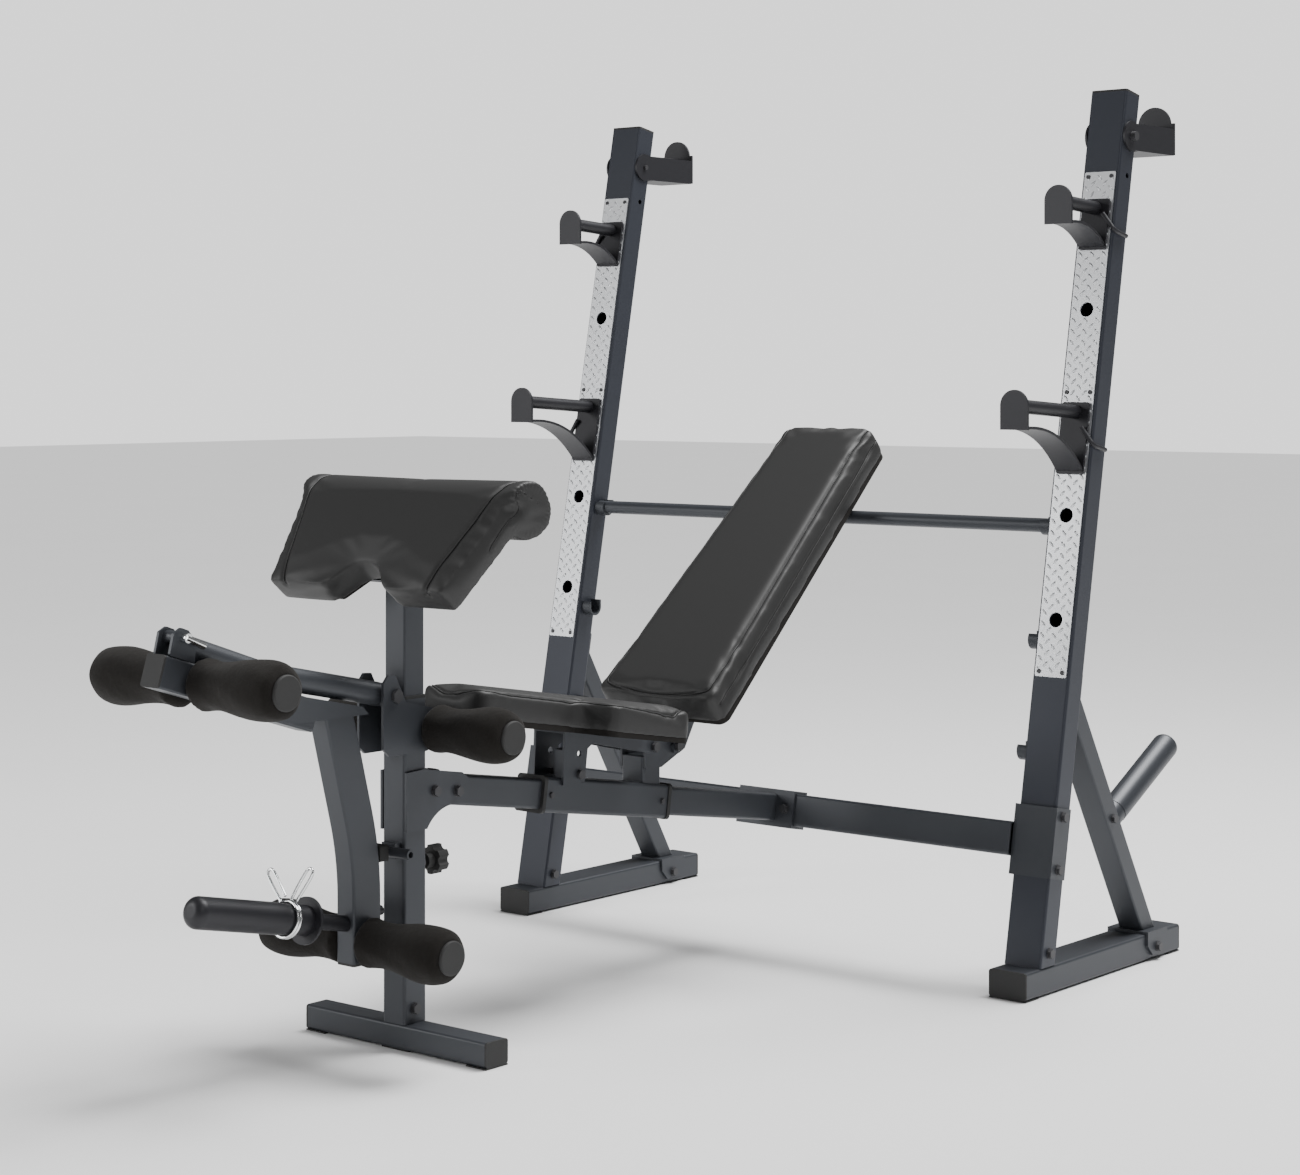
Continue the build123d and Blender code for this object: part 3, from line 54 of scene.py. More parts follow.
# ------------------------------------------------------------------ materials
class Signal:
    """A value in a material; Python's operators add its Math nodes."""

    def __init__(self, recipe: "Recipe", socket: bpy.types.NodeSocket) -> None:
        """Wraps one output socket.

        Args:
            recipe: the material being mixed.
            socket: the output that carries the value.
        """
        self.recipe = recipe
        self.socket = socket

    def _math(self, operation: str, first: "Signal | float", second: "Signal | float") -> "Signal":
        """Adds one Math node for an operator and returns its result."""
        return self.recipe.signal("ShaderNodeMath", {"operation": operation}, {0: first, 1: second}, "Value")

    def __add__(self, other: "Signal | float") -> "Signal":
        """Sum."""
        return self._math("ADD", self, other)

    def __radd__(self, other: float) -> "Signal":
        """Sum with a number on the left."""
        return self._math("ADD", other, self)

    def __sub__(self, other: "Signal | float") -> "Signal":
        """Difference."""
        return self._math("SUBTRACT", self, other)

    def __rsub__(self, other: float) -> "Signal":
        """A number less this value."""
        return self._math("SUBTRACT", other, self)

    def __mul__(self, other: "Signal | float") -> "Signal":
        """Product."""
        return self._math("MULTIPLY", self, other)

    def __rmul__(self, other: float) -> "Signal":
        """Product with a number on the left."""
        return self._math("MULTIPLY", other, self)

    def __pow__(self, power: float) -> "Signal":
        """Power."""
        return self._math("POWER", self, power)

    def __abs__(self) -> "Signal":
        """Distance from nought."""
        return self._math("ABSOLUTE", self, 0.0)


class Recipe:
    """One material, mixed node by node."""

    def __init__(self, name: str) -> None:
        """Starts a material with a Principled shader.

        Args:
            name: the material's name.
        """
        self.material = bpy.data.materials.new(name)
        self.material.use_nodes = True
        self.tree = self.material.node_tree
        self.shader = next(n for n in self.tree.nodes if n.type == "BSDF_PRINCIPLED")
        self.place = self.node("ShaderNodeTexCoord").outputs["Object"]

    def node(self, kind: str, settings: Optional[dict] = None, values: Optional[dict] = None) -> bpy.types.Node:
        """Adds a node, sets its options, then fills its sockets.

        Args:
            kind: the node's type name.
            settings: its own options, and "stops" for a colour ramp.
            values: socket name or number to a number, colour, socket or Signal.

        Returns:
            The new node.
        """
        made = self.tree.nodes.new(kind)
        for option, value in (settings or {}).items():
            if option == "stops":
                ramp = made.color_ramp.elements
                while len(ramp) < len(value):
                    ramp.new(0.5)
                for stop, (at, colour) in zip(ramp, value):
                    stop.position = at
                    stop.color = (*colour, 1.0)
            else:
                setattr(made, option, value)
        for key, value in (values or {}).items():
            self.fill(made.inputs[key], value)
        return made

    def fill(self, socket: bpy.types.NodeSocket, value: object) -> None:
        """Links or sets one input socket."""
        if isinstance(value, Signal):
            self.tree.links.new(value.socket, socket)
        elif isinstance(value, bpy.types.NodeSocket):
            self.tree.links.new(value, socket)
        elif isinstance(value, tuple) and len(value) == 3 and socket.type == "RGBA":
            socket.default_value = (*value, 1.0)
        else:
            socket.default_value = value

    def signal(self, kind: str, settings: dict, values: dict, output: str) -> Signal:
        """Adds a node and wraps one of its outputs."""
        return Signal(self, self.node(kind, settings, values).outputs[output])

    def stretched(self, scale: Point) -> bpy.types.NodeSocket:
        """Object coordinates scaled differently along each axis."""
        return self.node("ShaderNodeMapping", {}, {"Vector": self.place, "Scale": scale}).outputs["Vector"]

    def noise(self, scale: float, detail: float = 3.0, rough: float = 0.5, stretch: Optional[Point] = None) -> Signal:
        """Soft noise from 0 to 1.

        Args:
            scale: how many features in a metre.
            detail: how many finer layers.
            rough: how strong the finer layers are.
            stretch: scales of the three axes, if not even.

        Returns:
            The noise value.
        """
        where = self.stretched(stretch) if stretch else self.place
        return self.signal("ShaderNodeTexNoise", {},
                           {"Vector": where, "Scale": scale, "Detail": detail, "Roughness": rough}, "Fac")

    def cells(self, scale: float, feature: str = "F1") -> Signal:
        """Distance in a cell pattern."""
        return self.signal("ShaderNodeTexVoronoi", {"feature": feature}, {"Vector": self.place, "Scale": scale},
                           "Distance")

    def band(self, value: Signal, low: float, high: float) -> Signal:
        """0 below low, 1 above high, smooth between."""
        return self.signal("ShaderNodeMapRange", {"interpolation_type": "SMOOTHSTEP"},
                           {"Value": value, "From Min": low, "From Max": high}, "Result")

    def blend(self, share: Signal, low: Colour, high: Colour) -> bpy.types.NodeSocket:
        """A colour between two, by share."""
        made = self.node("ShaderNodeMix", {"data_type": "RGBA"}, {"Factor": share})
        self.fill(made.inputs[6], low)
        self.fill(made.inputs[7], high)
        return made.outputs[2]

    def relief(self, *layers: tuple[Signal, float]) -> None:
        """Bump layers, each a height value and its depth in metres, stacked into Normal."""
        normal: Optional[bpy.types.NodeSocket] = None
        for height, depth in layers:
            values: dict = {"Height": height, "Distance": depth, "Strength": 1.0}
            if normal is not None:
                values["Normal"] = normal
            normal = self.node("ShaderNodeBump", {}, values).outputs["Normal"]
        self.fill(self.shader.inputs["Normal"], normal)

    def finish(self, **sockets: object) -> bpy.types.Material:
        """Fills the shader's sockets, spaces written as underscores, and hands over the material."""
        for name, value in sockets.items():
            self.fill(self.shader.inputs[name.replace("_", " ")], value)
        return self.material


@dataclass(frozen=True)
class PowderCoat:
    """Satin powder coat: fine orange peel, slight mottling, rubbed dusty patches."""

    name: str
    deep: Colour
    bright: Colour
    gloss: float = 0.40
    peel: float = 0.00005

    def make(self) -> bpy.types.Material:
        """Returns the material."""
        mix = Recipe(self.name)
        mottle = mix.noise(9.0, 4.0, 0.6)
        peel = mix.noise(620.0, 2.0, 0.5)
        dust = mix.band(mix.noise(38.0, 6.0, 0.65), 0.56, 0.78)
        mix.relief((peel, self.peel), (mix.noise(170.0, 1.0), self.peel * 1.5))
        return mix.finish(Base_Color=mix.blend(mottle * 0.75 + dust * 0.25, self.deep, self.bright),
                          Roughness=self.gloss + (mottle - 0.5) * 0.14 + dust * 0.08 + (peel - 0.5) * 0.1,
                          Metallic=0.0, Specular_IOR_Level=0.14)


@dataclass(frozen=True)
class TreadSteel:
    """Bright rolled plate with fine drawing lines and small scuffs."""

    name: str = "tread_steel"

    def make(self) -> bpy.types.Material:
        """Returns the material."""
        mix = Recipe(self.name)
        drawn = mix.noise(1.0, 3.0, 0.6, (900.0, 45.0, 45.0))
        cloud = mix.noise(24.0, 5.0, 0.6)
        scuff = mix.band(mix.noise(1.0, 2.0, 0.7, (70.0, 420.0, 420.0)), 0.63, 0.74)
        mix.relief((drawn, 0.00003), (cloud, 0.00012))
        return mix.finish(Base_Color=mix.blend(cloud * 0.6 + drawn * 0.4, (0.40, 0.405, 0.415), (0.66, 0.665, 0.675)),
                          Metallic=0.95, Roughness=0.22 + drawn * 0.14 + scuff * 0.12 + cloud * 0.08)


@dataclass(frozen=True)
class Vinyl:
    """Upholstery vinyl with a pebbled grain, creases and a soft shine."""

    name: str
    deep: Colour
    bright: Colour
    shine: float = 0.25

    def make(self) -> bpy.types.Material:
        """Returns the material."""
        mix = Recipe(self.name)
        pebble = mix.cells(950.0, "SMOOTH_F1")
        fine = mix.noise(1500.0, 2.0)
        crease = mix.noise(26.0, 5.0, 0.55)
        hollow = mix.band(pebble, 0.15, 0.7)
        rubbed = mix.band(mix.noise(6.0, 3.0, 0.5), 0.45, 0.75)
        mix.relief((1.0 - hollow, 0.00007), (fine, 0.00003), (crease, 0.0011))
        return mix.finish(Base_Color=mix.blend(hollow * 0.55 + rubbed * 0.45, self.deep, self.bright),
                          Roughness=self.shine + hollow * 0.12 + (crease - 0.5) * 0.16 - rubbed * 0.05,
                          Specular_IOR_Level=0.36)


@dataclass(frozen=True)
class CellFoam:
    """Closed-cell foam: dull skin with open pores and soft dents."""

    name: str = "cell_foam"

    def make(self) -> bpy.types.Material:
        """Closed-cell foam: dull skin with open pores and soft dents; the pits of the pores are painted darker as
        painted shade.
        """
        mix = Recipe(self.name)
        pores = mix.band(mix.cells(620.0), 0.05, 0.42)
        grit = mix.noise(1300.0, 3.0, 0.7)
        dents = mix.noise(48.0, 4.0, 0.6)
        mix.relief((pores, 0.00035), (grit, 0.00018), (dents, 0.0016))
        # Base colour is darker in the pits of the pores: painted shade in the pores, plus random grit.
        return mix.finish(Base_Color=mix.blend(pores * 0.6 + grit * 0.4, (0.0028, 0.0025, 0.0022),
                                               (0.0150, 0.0132, 0.0115)),
                          Roughness=0.88 + dents * 0.1, Specular_IOR_Level=0.16, Sheen_Weight=0.05,
                          Sheen_Roughness=0.55)


@dataclass(frozen=True)
class Moulding:
    """Moulded plastic or rubber with a spark-eroded texture."""

    name: str
    deep: Colour
    bright: Colour
    gloss: float = 0.5

    def make(self) -> bpy.types.Material:
        """Returns the material."""
        mix = Recipe(self.name)
        spark = mix.noise(1100.0, 2.0, 0.6)
        flow = mix.noise(15.0, 4.0, 0.6)
        mix.relief((spark, 0.00005), (flow, 0.0002))
        return mix.finish(Base_Color=mix.blend(flow * 0.7 + spark * 0.3, self.deep, self.bright),
                          Roughness=self.gloss + (spark - 0.5) * 0.12 + (flow - 0.5) * 0.14,
                          Specular_IOR_Level=0.28)


@dataclass(frozen=True)
class Plated:
    """Plated or blackened metal with fine turning lines."""

    name: str
    deep: Colour
    bright: Colour
    gloss: float
    metal: float = 1.0

    def make(self) -> bpy.types.Material:
        """Returns the material."""
        mix = Recipe(self.name)
        cloud = mix.noise(60.0, 4.0, 0.6)
        lines = mix.noise(1.0, 2.0, 0.6, (240.0, 1500.0, 1500.0))
        mix.relief((lines, 0.00001), (cloud, 0.00004))
        return mix.finish(Base_Color=mix.blend(cloud, self.deep, self.bright), Metallic=self.metal,
                          Roughness=self.gloss + cloud * 0.08 + lines * 0.05)


@dataclass(frozen=True)
class Plywood:
    """Dark stained plywood with grain and pores."""

    name: str = "stained_plywood"

    def make(self) -> bpy.types.Material:
        """Returns the material."""
        mix = Recipe(self.name)
        grain = mix.noise(1.0, 6.0, 0.65, (260.0, 16.0, 16.0))
        pores = mix.band(mix.noise(1.0, 3.0, 0.7, (1400.0, 70.0, 70.0)), 0.52, 0.66)
        mix.relief((grain, 0.0002), (1.0 - pores, 0.00012))
        return mix.finish(Base_Color=mix.blend(grain * 0.8 + pores * 0.2, (0.004, 0.0037, 0.0034),
                                               (0.016, 0.0135, 0.0115)),
                          Roughness=0.66 + grain * 0.2, Specular_IOR_Level=0.25)


@dataclass(frozen=True)
class PaleFloor:
    """Plain pale studio floor."""

    name: str = "pale_floor"

    def make(self) -> bpy.types.Material:
        """Returns the material."""
        mix = Recipe(self.name)
        cloud = mix.noise(1.4, 2.0)
        return mix.finish(Base_Color=mix.blend(cloud, (0.86, 0.86, 0.86), (0.885, 0.885, 0.885)), Roughness=0.75,
                          Specular_IOR_Level=0.2)


class Finish(Enum):
    """The bench's finishes, one for each material slot."""

    FRAME_PAINT = PowderCoat("frame_paint", (0.0040, 0.0036, 0.0032), (0.0082, 0.0074, 0.0067))
    UPRIGHT_PAINT = PowderCoat("upright_paint", (0.0040, 0.0047, 0.0054), (0.0090, 0.0104, 0.0120))
    BLACK_PAINT = PowderCoat("black_paint", (0.0040, 0.0040, 0.0041), (0.0085, 0.0085, 0.0088), 0.38)
    TREAD_STEEL = TreadSteel()
    DARK_BOLT = Plated("dark_bolt", (0.03, 0.03, 0.033), (0.09, 0.09, 0.095), 0.30, 0.85)
    BLACK_PLASTIC = Moulding("black_plastic", (0.0040, 0.0038, 0.0038), (0.0105, 0.0100, 0.0100), 0.40)
    VINYL = Vinyl("vinyl", (0.0030, 0.0027, 0.0024), (0.0080, 0.0071, 0.0064))
    BOARD = Plywood()
    FOAM = CellFoam()
    CHROME_WIRE = Plated("chrome_wire", (0.78, 0.79, 0.80), (0.93, 0.93, 0.94), 0.07)
    RUBBER_BLACK = Moulding("rubber_black", (0.0070, 0.0070, 0.0072), (0.0160, 0.0160, 0.0165), 0.66)

    @property
    def slot(self) -> str:
        """The material slot's name."""
        return self.name.lower()

    def material(self) -> bpy.types.Material:
        """The finish as a material, made once."""
        return bpy.data.materials.get(self.value.name) or self.value.make()


# ------------------------------------------------------------------ workshop
def only(piece: bpy.types.Object) -> None:
    """Leaves one object selected and active."""
    bpy.ops.object.select_all(action="DESELECT")
    piece.select_set(True)
    bpy.context.view_layer.objects.active = piece


def take_new(name: str) -> bpy.types.Object:
    """Names the primitive that was just added and leaves it the only one selected."""
    piece = bpy.context.active_object
    piece.name = name
    piece.data.name = name
    only(piece)
    return piece


def settle(piece: bpy.types.Object, place: Optional[Matrix] = None) -> None:
    """Writes the object's place, or a given one, into its mesh."""
    if place is not None:
        piece.matrix_world = place
    only(piece)
    bpy.ops.object.transform_apply(location=True, rotation=True, scale=True)


def modified(piece: bpy.types.Object, kind: str, **settings: object) -> None:
    """Adds one modifier, sets it and applies it."""
    only(piece)
    step = piece.modifiers.new(kind.lower(), kind)
    for option, value in settings.items():
        setattr(step, option, value)
    bpy.ops.object.modifier_apply(modifier=step.name)


def pick(piece: bpy.types.Object, mode: str, test: Callable[[Vector, Vector], bool]) -> None:
    """In edit mode, selects vertices or faces whose place and normal pass a test.

    Args:
        piece: the mesh being edited.
        mode: VERT or FACE.
        test: takes the place and normal.
    """
    bpy.ops.mesh.select_mode(type=mode)
    bpy.ops.mesh.select_all(action="DESELECT")
    mesh = bmesh.from_edit_mesh(piece.data)
    for item in (mesh.verts if mode == "VERT" else mesh.faces):
        centre = item.co if mode == "VERT" else item.calc_center_median()
        item.select_set(test(centre, item.normal))
    bmesh.update_edit_mesh(piece.data)


def dress(piece: bpy.types.Object, finish: Finish, body: str, smooth: Optional[float] = None) -> None:
    """Gives a new piece its finish and body.

    Args:
        piece: the finished mesh.
        finish: its finish.
        body: the moving body it rides on.
        smooth: angle in degrees under which edges are shaded smooth.
    """
    piece.data.materials.clear()
    piece.data.materials.append(finish.material())
    only(piece)
    if smooth is None:
        bpy.ops.object.shade_smooth()
    else:
        bpy.ops.object.shade_smooth_by_angle(angle=math.radians(smooth))
    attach(piece, body)
    LOG.info("%s: %d faces on %s", piece.name, len(piece.data.polygons), body)


def rounded_path(points: Sequence[Sequence[float]], closed: bool = False, rounds: int = 3) -> list[Vector]:
    """Cuts a path's corners until it is smooth.

    Args:
        points: the path's corners.
        closed: whether the last joins the first.
        rounds: how many times corners are cut.

    Returns:
        The smoother path.
    """
    path = [Vector(p) for p in points]
    for _ in range(rounds):
        cut = [] if closed else [path[0]]
        count = len(path) if closed else len(path) - 1
        for i in range(count):
            a, b = path[i], path[(i + 1) % len(path)]
            cut.extend((a.lerp(b, 0.25), a.lerp(b, 0.75)))
        if not closed:
            cut.append(path[-1])
        path = cut
    if closed:
        path.append(path[0].copy())
    return path


def spaced(path: Sequence[Vector], gap: float) -> list[Vector]:
    """The same path with points a fixed gap apart."""
    out = [path[0].copy()]
    left = gap
    for a, b in zip(path, path[1:]):
        span = (b - a).length
        at = 0.0
        while span - at >= left and span > 0:
            at += left
            out.append(a.lerp(b, at / span))
            left = gap
        left -= span - at
    return out


def tube_along(name: str, path: Sequence[Vector], radius: float, closed: bool = False) -> bpy.types.Object:
    """A round tube mesh that follows a path.

    Args:
        name: the new object's name.
        path: points of the middle line.
        radius: the tube's radius.
        closed: whether it joins up.

    Returns:
        The tube, a mesh.
    """
    data = bpy.data.curves.new(name, "CURVE")
    data.dimensions = "3D"
    data.bevel_depth = radius
    data.bevel_resolution = 3
    data.use_fill_caps = not closed
    line = data.splines.new("POLY")
    line.points.add(len(path) - 1)
    for slot, at in zip(line.points, path):
        slot.co = (*at, 1.0)
    line.use_cyclic_u = closed
    piece = bpy.data.objects.new(name, data)
    bpy.context.scene.collection.objects.link(piece)
    only(piece)
    bpy.ops.object.convert(target="MESH")
    piece = bpy.context.active_object
    piece.name = name
    return piece


# ------------------------------------------------------------------ upholstery
@dataclass
class Seam:
    """A sewn line on a pad, with its cord standing a little proud."""

    points: list[Point]
    onto: Vector
    closed: bool = False
    depth: float = 0.0022
    spread: float = 0.0034
    cord: float = 0.0013


@dataclass
class Pad:
    """One upholstered pad, puffed up from its plain solid."""

    node: str
    name: str
    body: str
    facing: Vector
    cap: float = 0.007
    voxel: float = 0.005
    start: float = -0.0025
    fill: float = 0.7
    soften: int = 8
    sink: float = 0.0045

    def seams(self) -> list[Seam]:
        """The sewn lines of this pad."""
        return []

    def held(self, at: Vector, normal: Vector) -> bool:
        """Whether the board holds the cover at this place."""
        return normal.dot(self.facing) < -0.6

    def shaped(self, at: Vector, normal: Vector) -> Vector:
        """A small extra move of a point, such as gathers."""
        return Vector((0.0, 0.0, 0.0))

    def body_mesh(self) -> bpy.types.Object:
        """Copies the pad's plain solid, closes it and remeshes it evenly."""
        source = frame["nodes"][self.node]
        piece = source.copy()
        piece.data = source.data.copy()
        piece.name = self.name
        piece.parent = None
        for key in list(piece.keys()):
            del piece[key]
        bpy.context.scene.collection.objects.link(piece)
        piece.hide_render = False
        piece.hide_viewport = False
        only(piece)
        bpy.ops.object.mode_set(mode="EDIT")
        bpy.ops.mesh.select_all(action="SELECT")
        bpy.ops.mesh.remove_doubles(threshold=0.00002)
        bpy.ops.mesh.normals_make_consistent(inside=False)
        bpy.ops.object.mode_set(mode="OBJECT")
        modified(piece, "REMESH", mode="VOXEL", voxel_size=self.voxel)
        modified(piece, "SMOOTH", factor=0.5, iterations=self.soften)
        modified(piece, "DISPLACE", strength=self.start, mid_level=0.0)
        return piece

    def puff(self, piece: bpy.types.Object) -> None:
        """Inflates the cover as cloth, held where the board is, and caps the rise."""
        rest = [v.co.copy() for v in piece.data.vertices]
        hold = piece.vertex_groups.new(name="hold")
        fixed = [v.index for v in piece.data.vertices if self.held(v.co, v.normal)]
        hold.add(fixed, 1.0, "REPLACE")
        only(piece)
        step = piece.modifiers.new("cover", "CLOTH")
        step.settings.quality = 5
        step.settings.mass = 0.3
        step.settings.use_pressure = True
        step.settings.uniform_pressure_force = 4.0
        step.settings.tension_stiffness = 60.0
        step.settings.compression_stiffness = 60.0
        step.settings.bending_stiffness = 6.0
        step.settings.effector_weights.gravity = 0.0
        step.settings.vertex_group_mass = hold.name
        step.collision_settings.use_self_collision = False
        step.point_cache.frame_start = 1
        step.point_cache.frame_end = 20
        scene = bpy.context.scene
        for number in range(1, 21):
            scene.frame_set(number)
        shot = piece.evaluated_get(bpy.context.evaluated_depsgraph_get())
        moved = [v.co.copy() for v in shot.data.vertices]
        piece.modifiers.remove(step)
        scene.frame_set(1)
        for vertex, old, new in zip(piece.data.vertices, rest, moved):
            rise = (new - old) * 0.8
            if rise.length > self.cap:
                rise.length = self.cap
            vertex.co = old + rise
        piece.vertex_groups.clear()

    def build(self) -> bpy.types.Object:
        """Returns:
            The finished pad.
        """
        piece = self.body_mesh()
        self.puff(piece)
        modified(piece, "SMOOTH", factor=0.5, iterations=7)
        modified(piece, "SUBSURF", levels=1, render_levels=1)
        normals = [vertex.normal.copy() for vertex in piece.data.vertices]
        for vertex, normal in zip(piece.data.vertices, normals):
            seated = min(max((-normal.dot(self.facing) - 0.1) / 0.5, 0.0), 1.0)
            vertex.co += self.shaped(vertex.co.copy(), normal) - self.facing * (self.sink * seated)
        cords = self.sew(piece)
        dress(piece, Finish.VINYL, self.body)
        for cord in cords:
            dress(cord, Finish.VINYL, self.body)
        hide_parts(self.node)
        return piece

    def sew(self, piece: bpy.types.Object) -> list[bpy.types.Object]:
        """Presses each seam into the cover and lays its cord.

        Args:
            piece: the pad.

        Returns:
            The cords as meshes.
        """
        lines = []
        tree = BVHTree.FromObject(piece, bpy.context.evaluated_depsgraph_get())
        for seam in self.seams():
            path = spaced(rounded_path(seam.points, seam.closed), 0.003)
            hits = []
            for at in path:
                found, normal, _, _ = tree.ray_cast(at - seam.onto * 0.12, seam.onto)
                if found is not None:
                    hits.append((found, normal))
            lines.append((seam, hits))
        grid: dict[tuple[int, int, int], list[tuple[Vector, Vector, Seam]]] = {}
        size = 0.008
        for seam, hits in lines:
            for at, normal in hits:
                key = tuple(int(math.floor(c / size)) for c in at)
                grid.setdefault(key, []).append((at, normal, seam))
        for vertex in piece.data.vertices:
            base = tuple(int(math.floor(c / size)) for c in vertex.co)
            near, best = None, 1.0
            for dx in (-1, 0, 1):
                for dy in (-1, 0, 1):
                    for dz in (-1, 0, 1):
                        for at, normal, seam in grid.get((base[0] + dx, base[1] + dy, base[2] + dz), ()):
                            gap = (vertex.co - at).length
                            if gap < best:
                                near, best = (normal, seam), gap
            if near is not None and best < 0.008:
                normal, seam = near
                vertex.co -= normal * seam.depth * math.exp(-(best / seam.spread) ** 2)
        cords = []
        for number, (seam, hits) in enumerate(lines):
            if seam.cord > 0 and len(hits) > 4:
                path = [at - normal * (seam.depth * 0.55) for at, normal in hits]
                cords.append(tube_along(f"{self.name}_seam_{number}", path, seam.cord, seam.closed))
        return cords


@dataclass
class Backrest(Pad):
    """Tall tapered backrest pad."""

    foot: Point = (0.0, 0.622, 0.510)
    angle: float = math.radians(41.0)
    length: float = 0.738
    low_half: float = 0.140
    top_half: float = 0.110
    thickness: float = 0.058

    def at(self, x: float, up: float, behind: float = 0.0) -> Point:
        """A point from its place on the pad's face and its depth behind it."""
        c, s = math.cos(self.angle), math.sin(self.angle)
        return (x, self.foot[1] + up * c + behind * s, self.foot[2] + up * s - behind * c)

    def seams(self) -> list[Seam]:
        """Edge seams down both sides and across the foot, and a seam round each flank."""
        into = -self.facing
        lines = []
        edge = [self.at(-self.top_half + 0.017, self.length - 0.004), self.at(-self.top_half + 0.017, 0.66),
                self.at(-self.low_half + 0.018, 0.045), self.at(-self.low_half + 0.026, 0.011),
                self.at(self.low_half - 0.026, 0.011), self.at(self.low_half - 0.018, 0.045),
                self.at(self.top_half - 0.017, 0.66), self.at(self.top_half - 0.017, self.length - 0.004)]
        lines.append(Seam(edge, into, False, 0.0026, 0.0040, 0.0012))
        for side in (-1.0, 1.0):
            flank = [self.at(side * self.low_half, 0.02, 0.030), self.at(side * 0.125, 0.37, 0.031),
                     self.at(side * self.top_half, self.length - 0.02, 0.030)]
            lines.append(Seam(flank, Vector((-side, 0.0, 0.0)), False, 0.0022, 0.0035, 0.0009))
        return lines


@dataclass
class Seat(Pad):
    """T-shaped seat pad with a narrow nose."""

    foot: Point = (0.0, 0.097, 0.517)
    angle: float = math.radians(9.3)
    top: float = 0.058
    length: float = 0.472
    neck: float = 0.247
    nose: float = 0.076
    half: float = 0.150

    def at(self, x: float, along: float, high: Optional[float] = None) -> Point:
        """A point from its place along the seat and height over its underside."""
        c, s = math.cos(self.angle), math.sin(self.angle)
        high = self.top if high is None else high
        return (x, self.foot[1] + along * c + high * s, self.foot[2] - along * s + high * c)

    def seams(self) -> list[Seam]:
        """A seam round the top edge and one across where the nose begins."""
        n, w, i = self.nose - 0.007, self.half - 0.007, 0.007
        k = self.neck + 0.007
        rim = [self.at(-n, i), self.at(n, i), self.at(n, k), self.at(w, k), self.at(w, self.length - i),
               self.at(-w, self.length - i), self.at(-w, k), self.at(-n, k)]
        ring: list[Point] = []
        for a, b in zip(rim, rim[1:] + rim[:1]):
            va, vb = Vector(a), Vector(b)
            ring.extend((tuple(va.lerp(vb, 0.12)), tuple(va.lerp(vb, 0.5)), tuple(va.lerp(vb, 0.88))))
        cross = [self.at(-n, k - 0.004), self.at(-0.03, k - 0.022), self.at(0.03, k - 0.022),
                 self.at(n, k - 0.004)]
        return [Seam(ring, -self.facing, True), Seam(cross, -self.facing, False, 0.0030, 0.0045)]


@dataclass
class CurlPad(Pad):
    """Sloping arm pad with a roll along its top and a notch below."""

    foot: Point = (0.0, -0.1232, 0.7497)
    angle: float = math.radians(51.5)
    roll: Point = (0.0, 0.037, 0.874)
    roll_radius: float = 0.050
    length: float = 0.197
    half_top: float = 0.250
    half_low: float = 0.198

    def at(self, x: float, up: float) -> Point:
        """A point on the pad's sloping face."""
        c, s = math.cos(self.angle), math.sin(self.angle)
        return (x, self.foot[1] + up * c, self.foot[2] + up * s)

    def shaped(self, at: Vector, normal: Vector) -> Vector:
        """Gathers round the rim of the roll's two ends."""
        dy, dz = at.y - self.roll[1], at.z - self.roll[2]
        reach = math.hypot(dy, dz)
        if abs(at.x) < self.half_top - 0.016 or reach < 0.02:
            return Vector((0.0, 0.0, 0.0))
        turn = math.atan2(dz, dy)
        rim = math.exp(-((reach - self.roll_radius + 0.010) / 0.007) ** 2)
        return normal * (0.0005 * rim * math.sin(31.0 * turn + 1.4 * math.sin(3.0 * turn)))

    def seams(self) -> list[Seam]:
        """A deep seam beside each end panel and a fine one along each outer edge."""
        into = -self.facing
        lines = []
        for side in (-1.0, 1.0):
            over = [self.at(side * 0.160, 0.004), self.at(side * 0.186, 0.10), self.at(side * 0.209, 0.185),
                    self.at(side * 0.215, 0.245)]
            lines.append(Seam(over, into, False, 0.0030, 0.0050))
            panel = [self.at(side * 0.2485, 0.250), self.at(side * 0.2405, 0.190), self.at(side * 0.222, 0.10),
                     self.at(side * 0.206, 0.030)]
            lines.append(Seam(panel, into, False, 0.0014, 0.0030, 0.0007))
        return lines


@dataclass
class FoamRoller:
    """Foam sleeve that turns on its axle tube."""

    node: str
    axis: tuple[float, float]
    voxel: float = 0.0042

    def build(self) -> bpy.types.Object:
        """Remeshes the plain sleeve, softens it and opens its bore."""
        pad = Pad(self.node, self.node + "_sleeve", self.node, Vector((0.0, 0.0, 1.0)), voxel=self.voxel, start=-0.0004)
        piece = pad.body_mesh()
        modified(piece, "SUBSURF", levels=1, render_levels=1)
        seed = float(sum(ord(c) for c in self.node) % 97)
        for vertex in piece.data.vertices:
            dy, dz = vertex.co.y - self.axis[0], vertex.co.z - self.axis[1]
            reach = max(math.hypot(dy, dz), 1e-6)
            if reach < 0.020:
                scale = 0.0134 / reach
                vertex.co.y = self.axis[0] + dy * scale
                vertex.co.z = self.axis[1] + dz * scale
                continue
            turn = math.atan2(dz, dy)
            dent = 0.0006 * math.sin(3.0 * turn + vertex.co.x * 31.0 + seed)
            dent += 0.0005 * math.sin(5.0 * turn - vertex.co.x * 57.0 + seed * 1.7)
            scale = (reach + dent - 0.0003) / reach
            vertex.co.y = self.axis[0] + dy * scale
            vertex.co.z = self.axis[1] + dz * scale
        dress(piece, Finish.FOAM, self.node)
        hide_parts(self.node)
        return piece


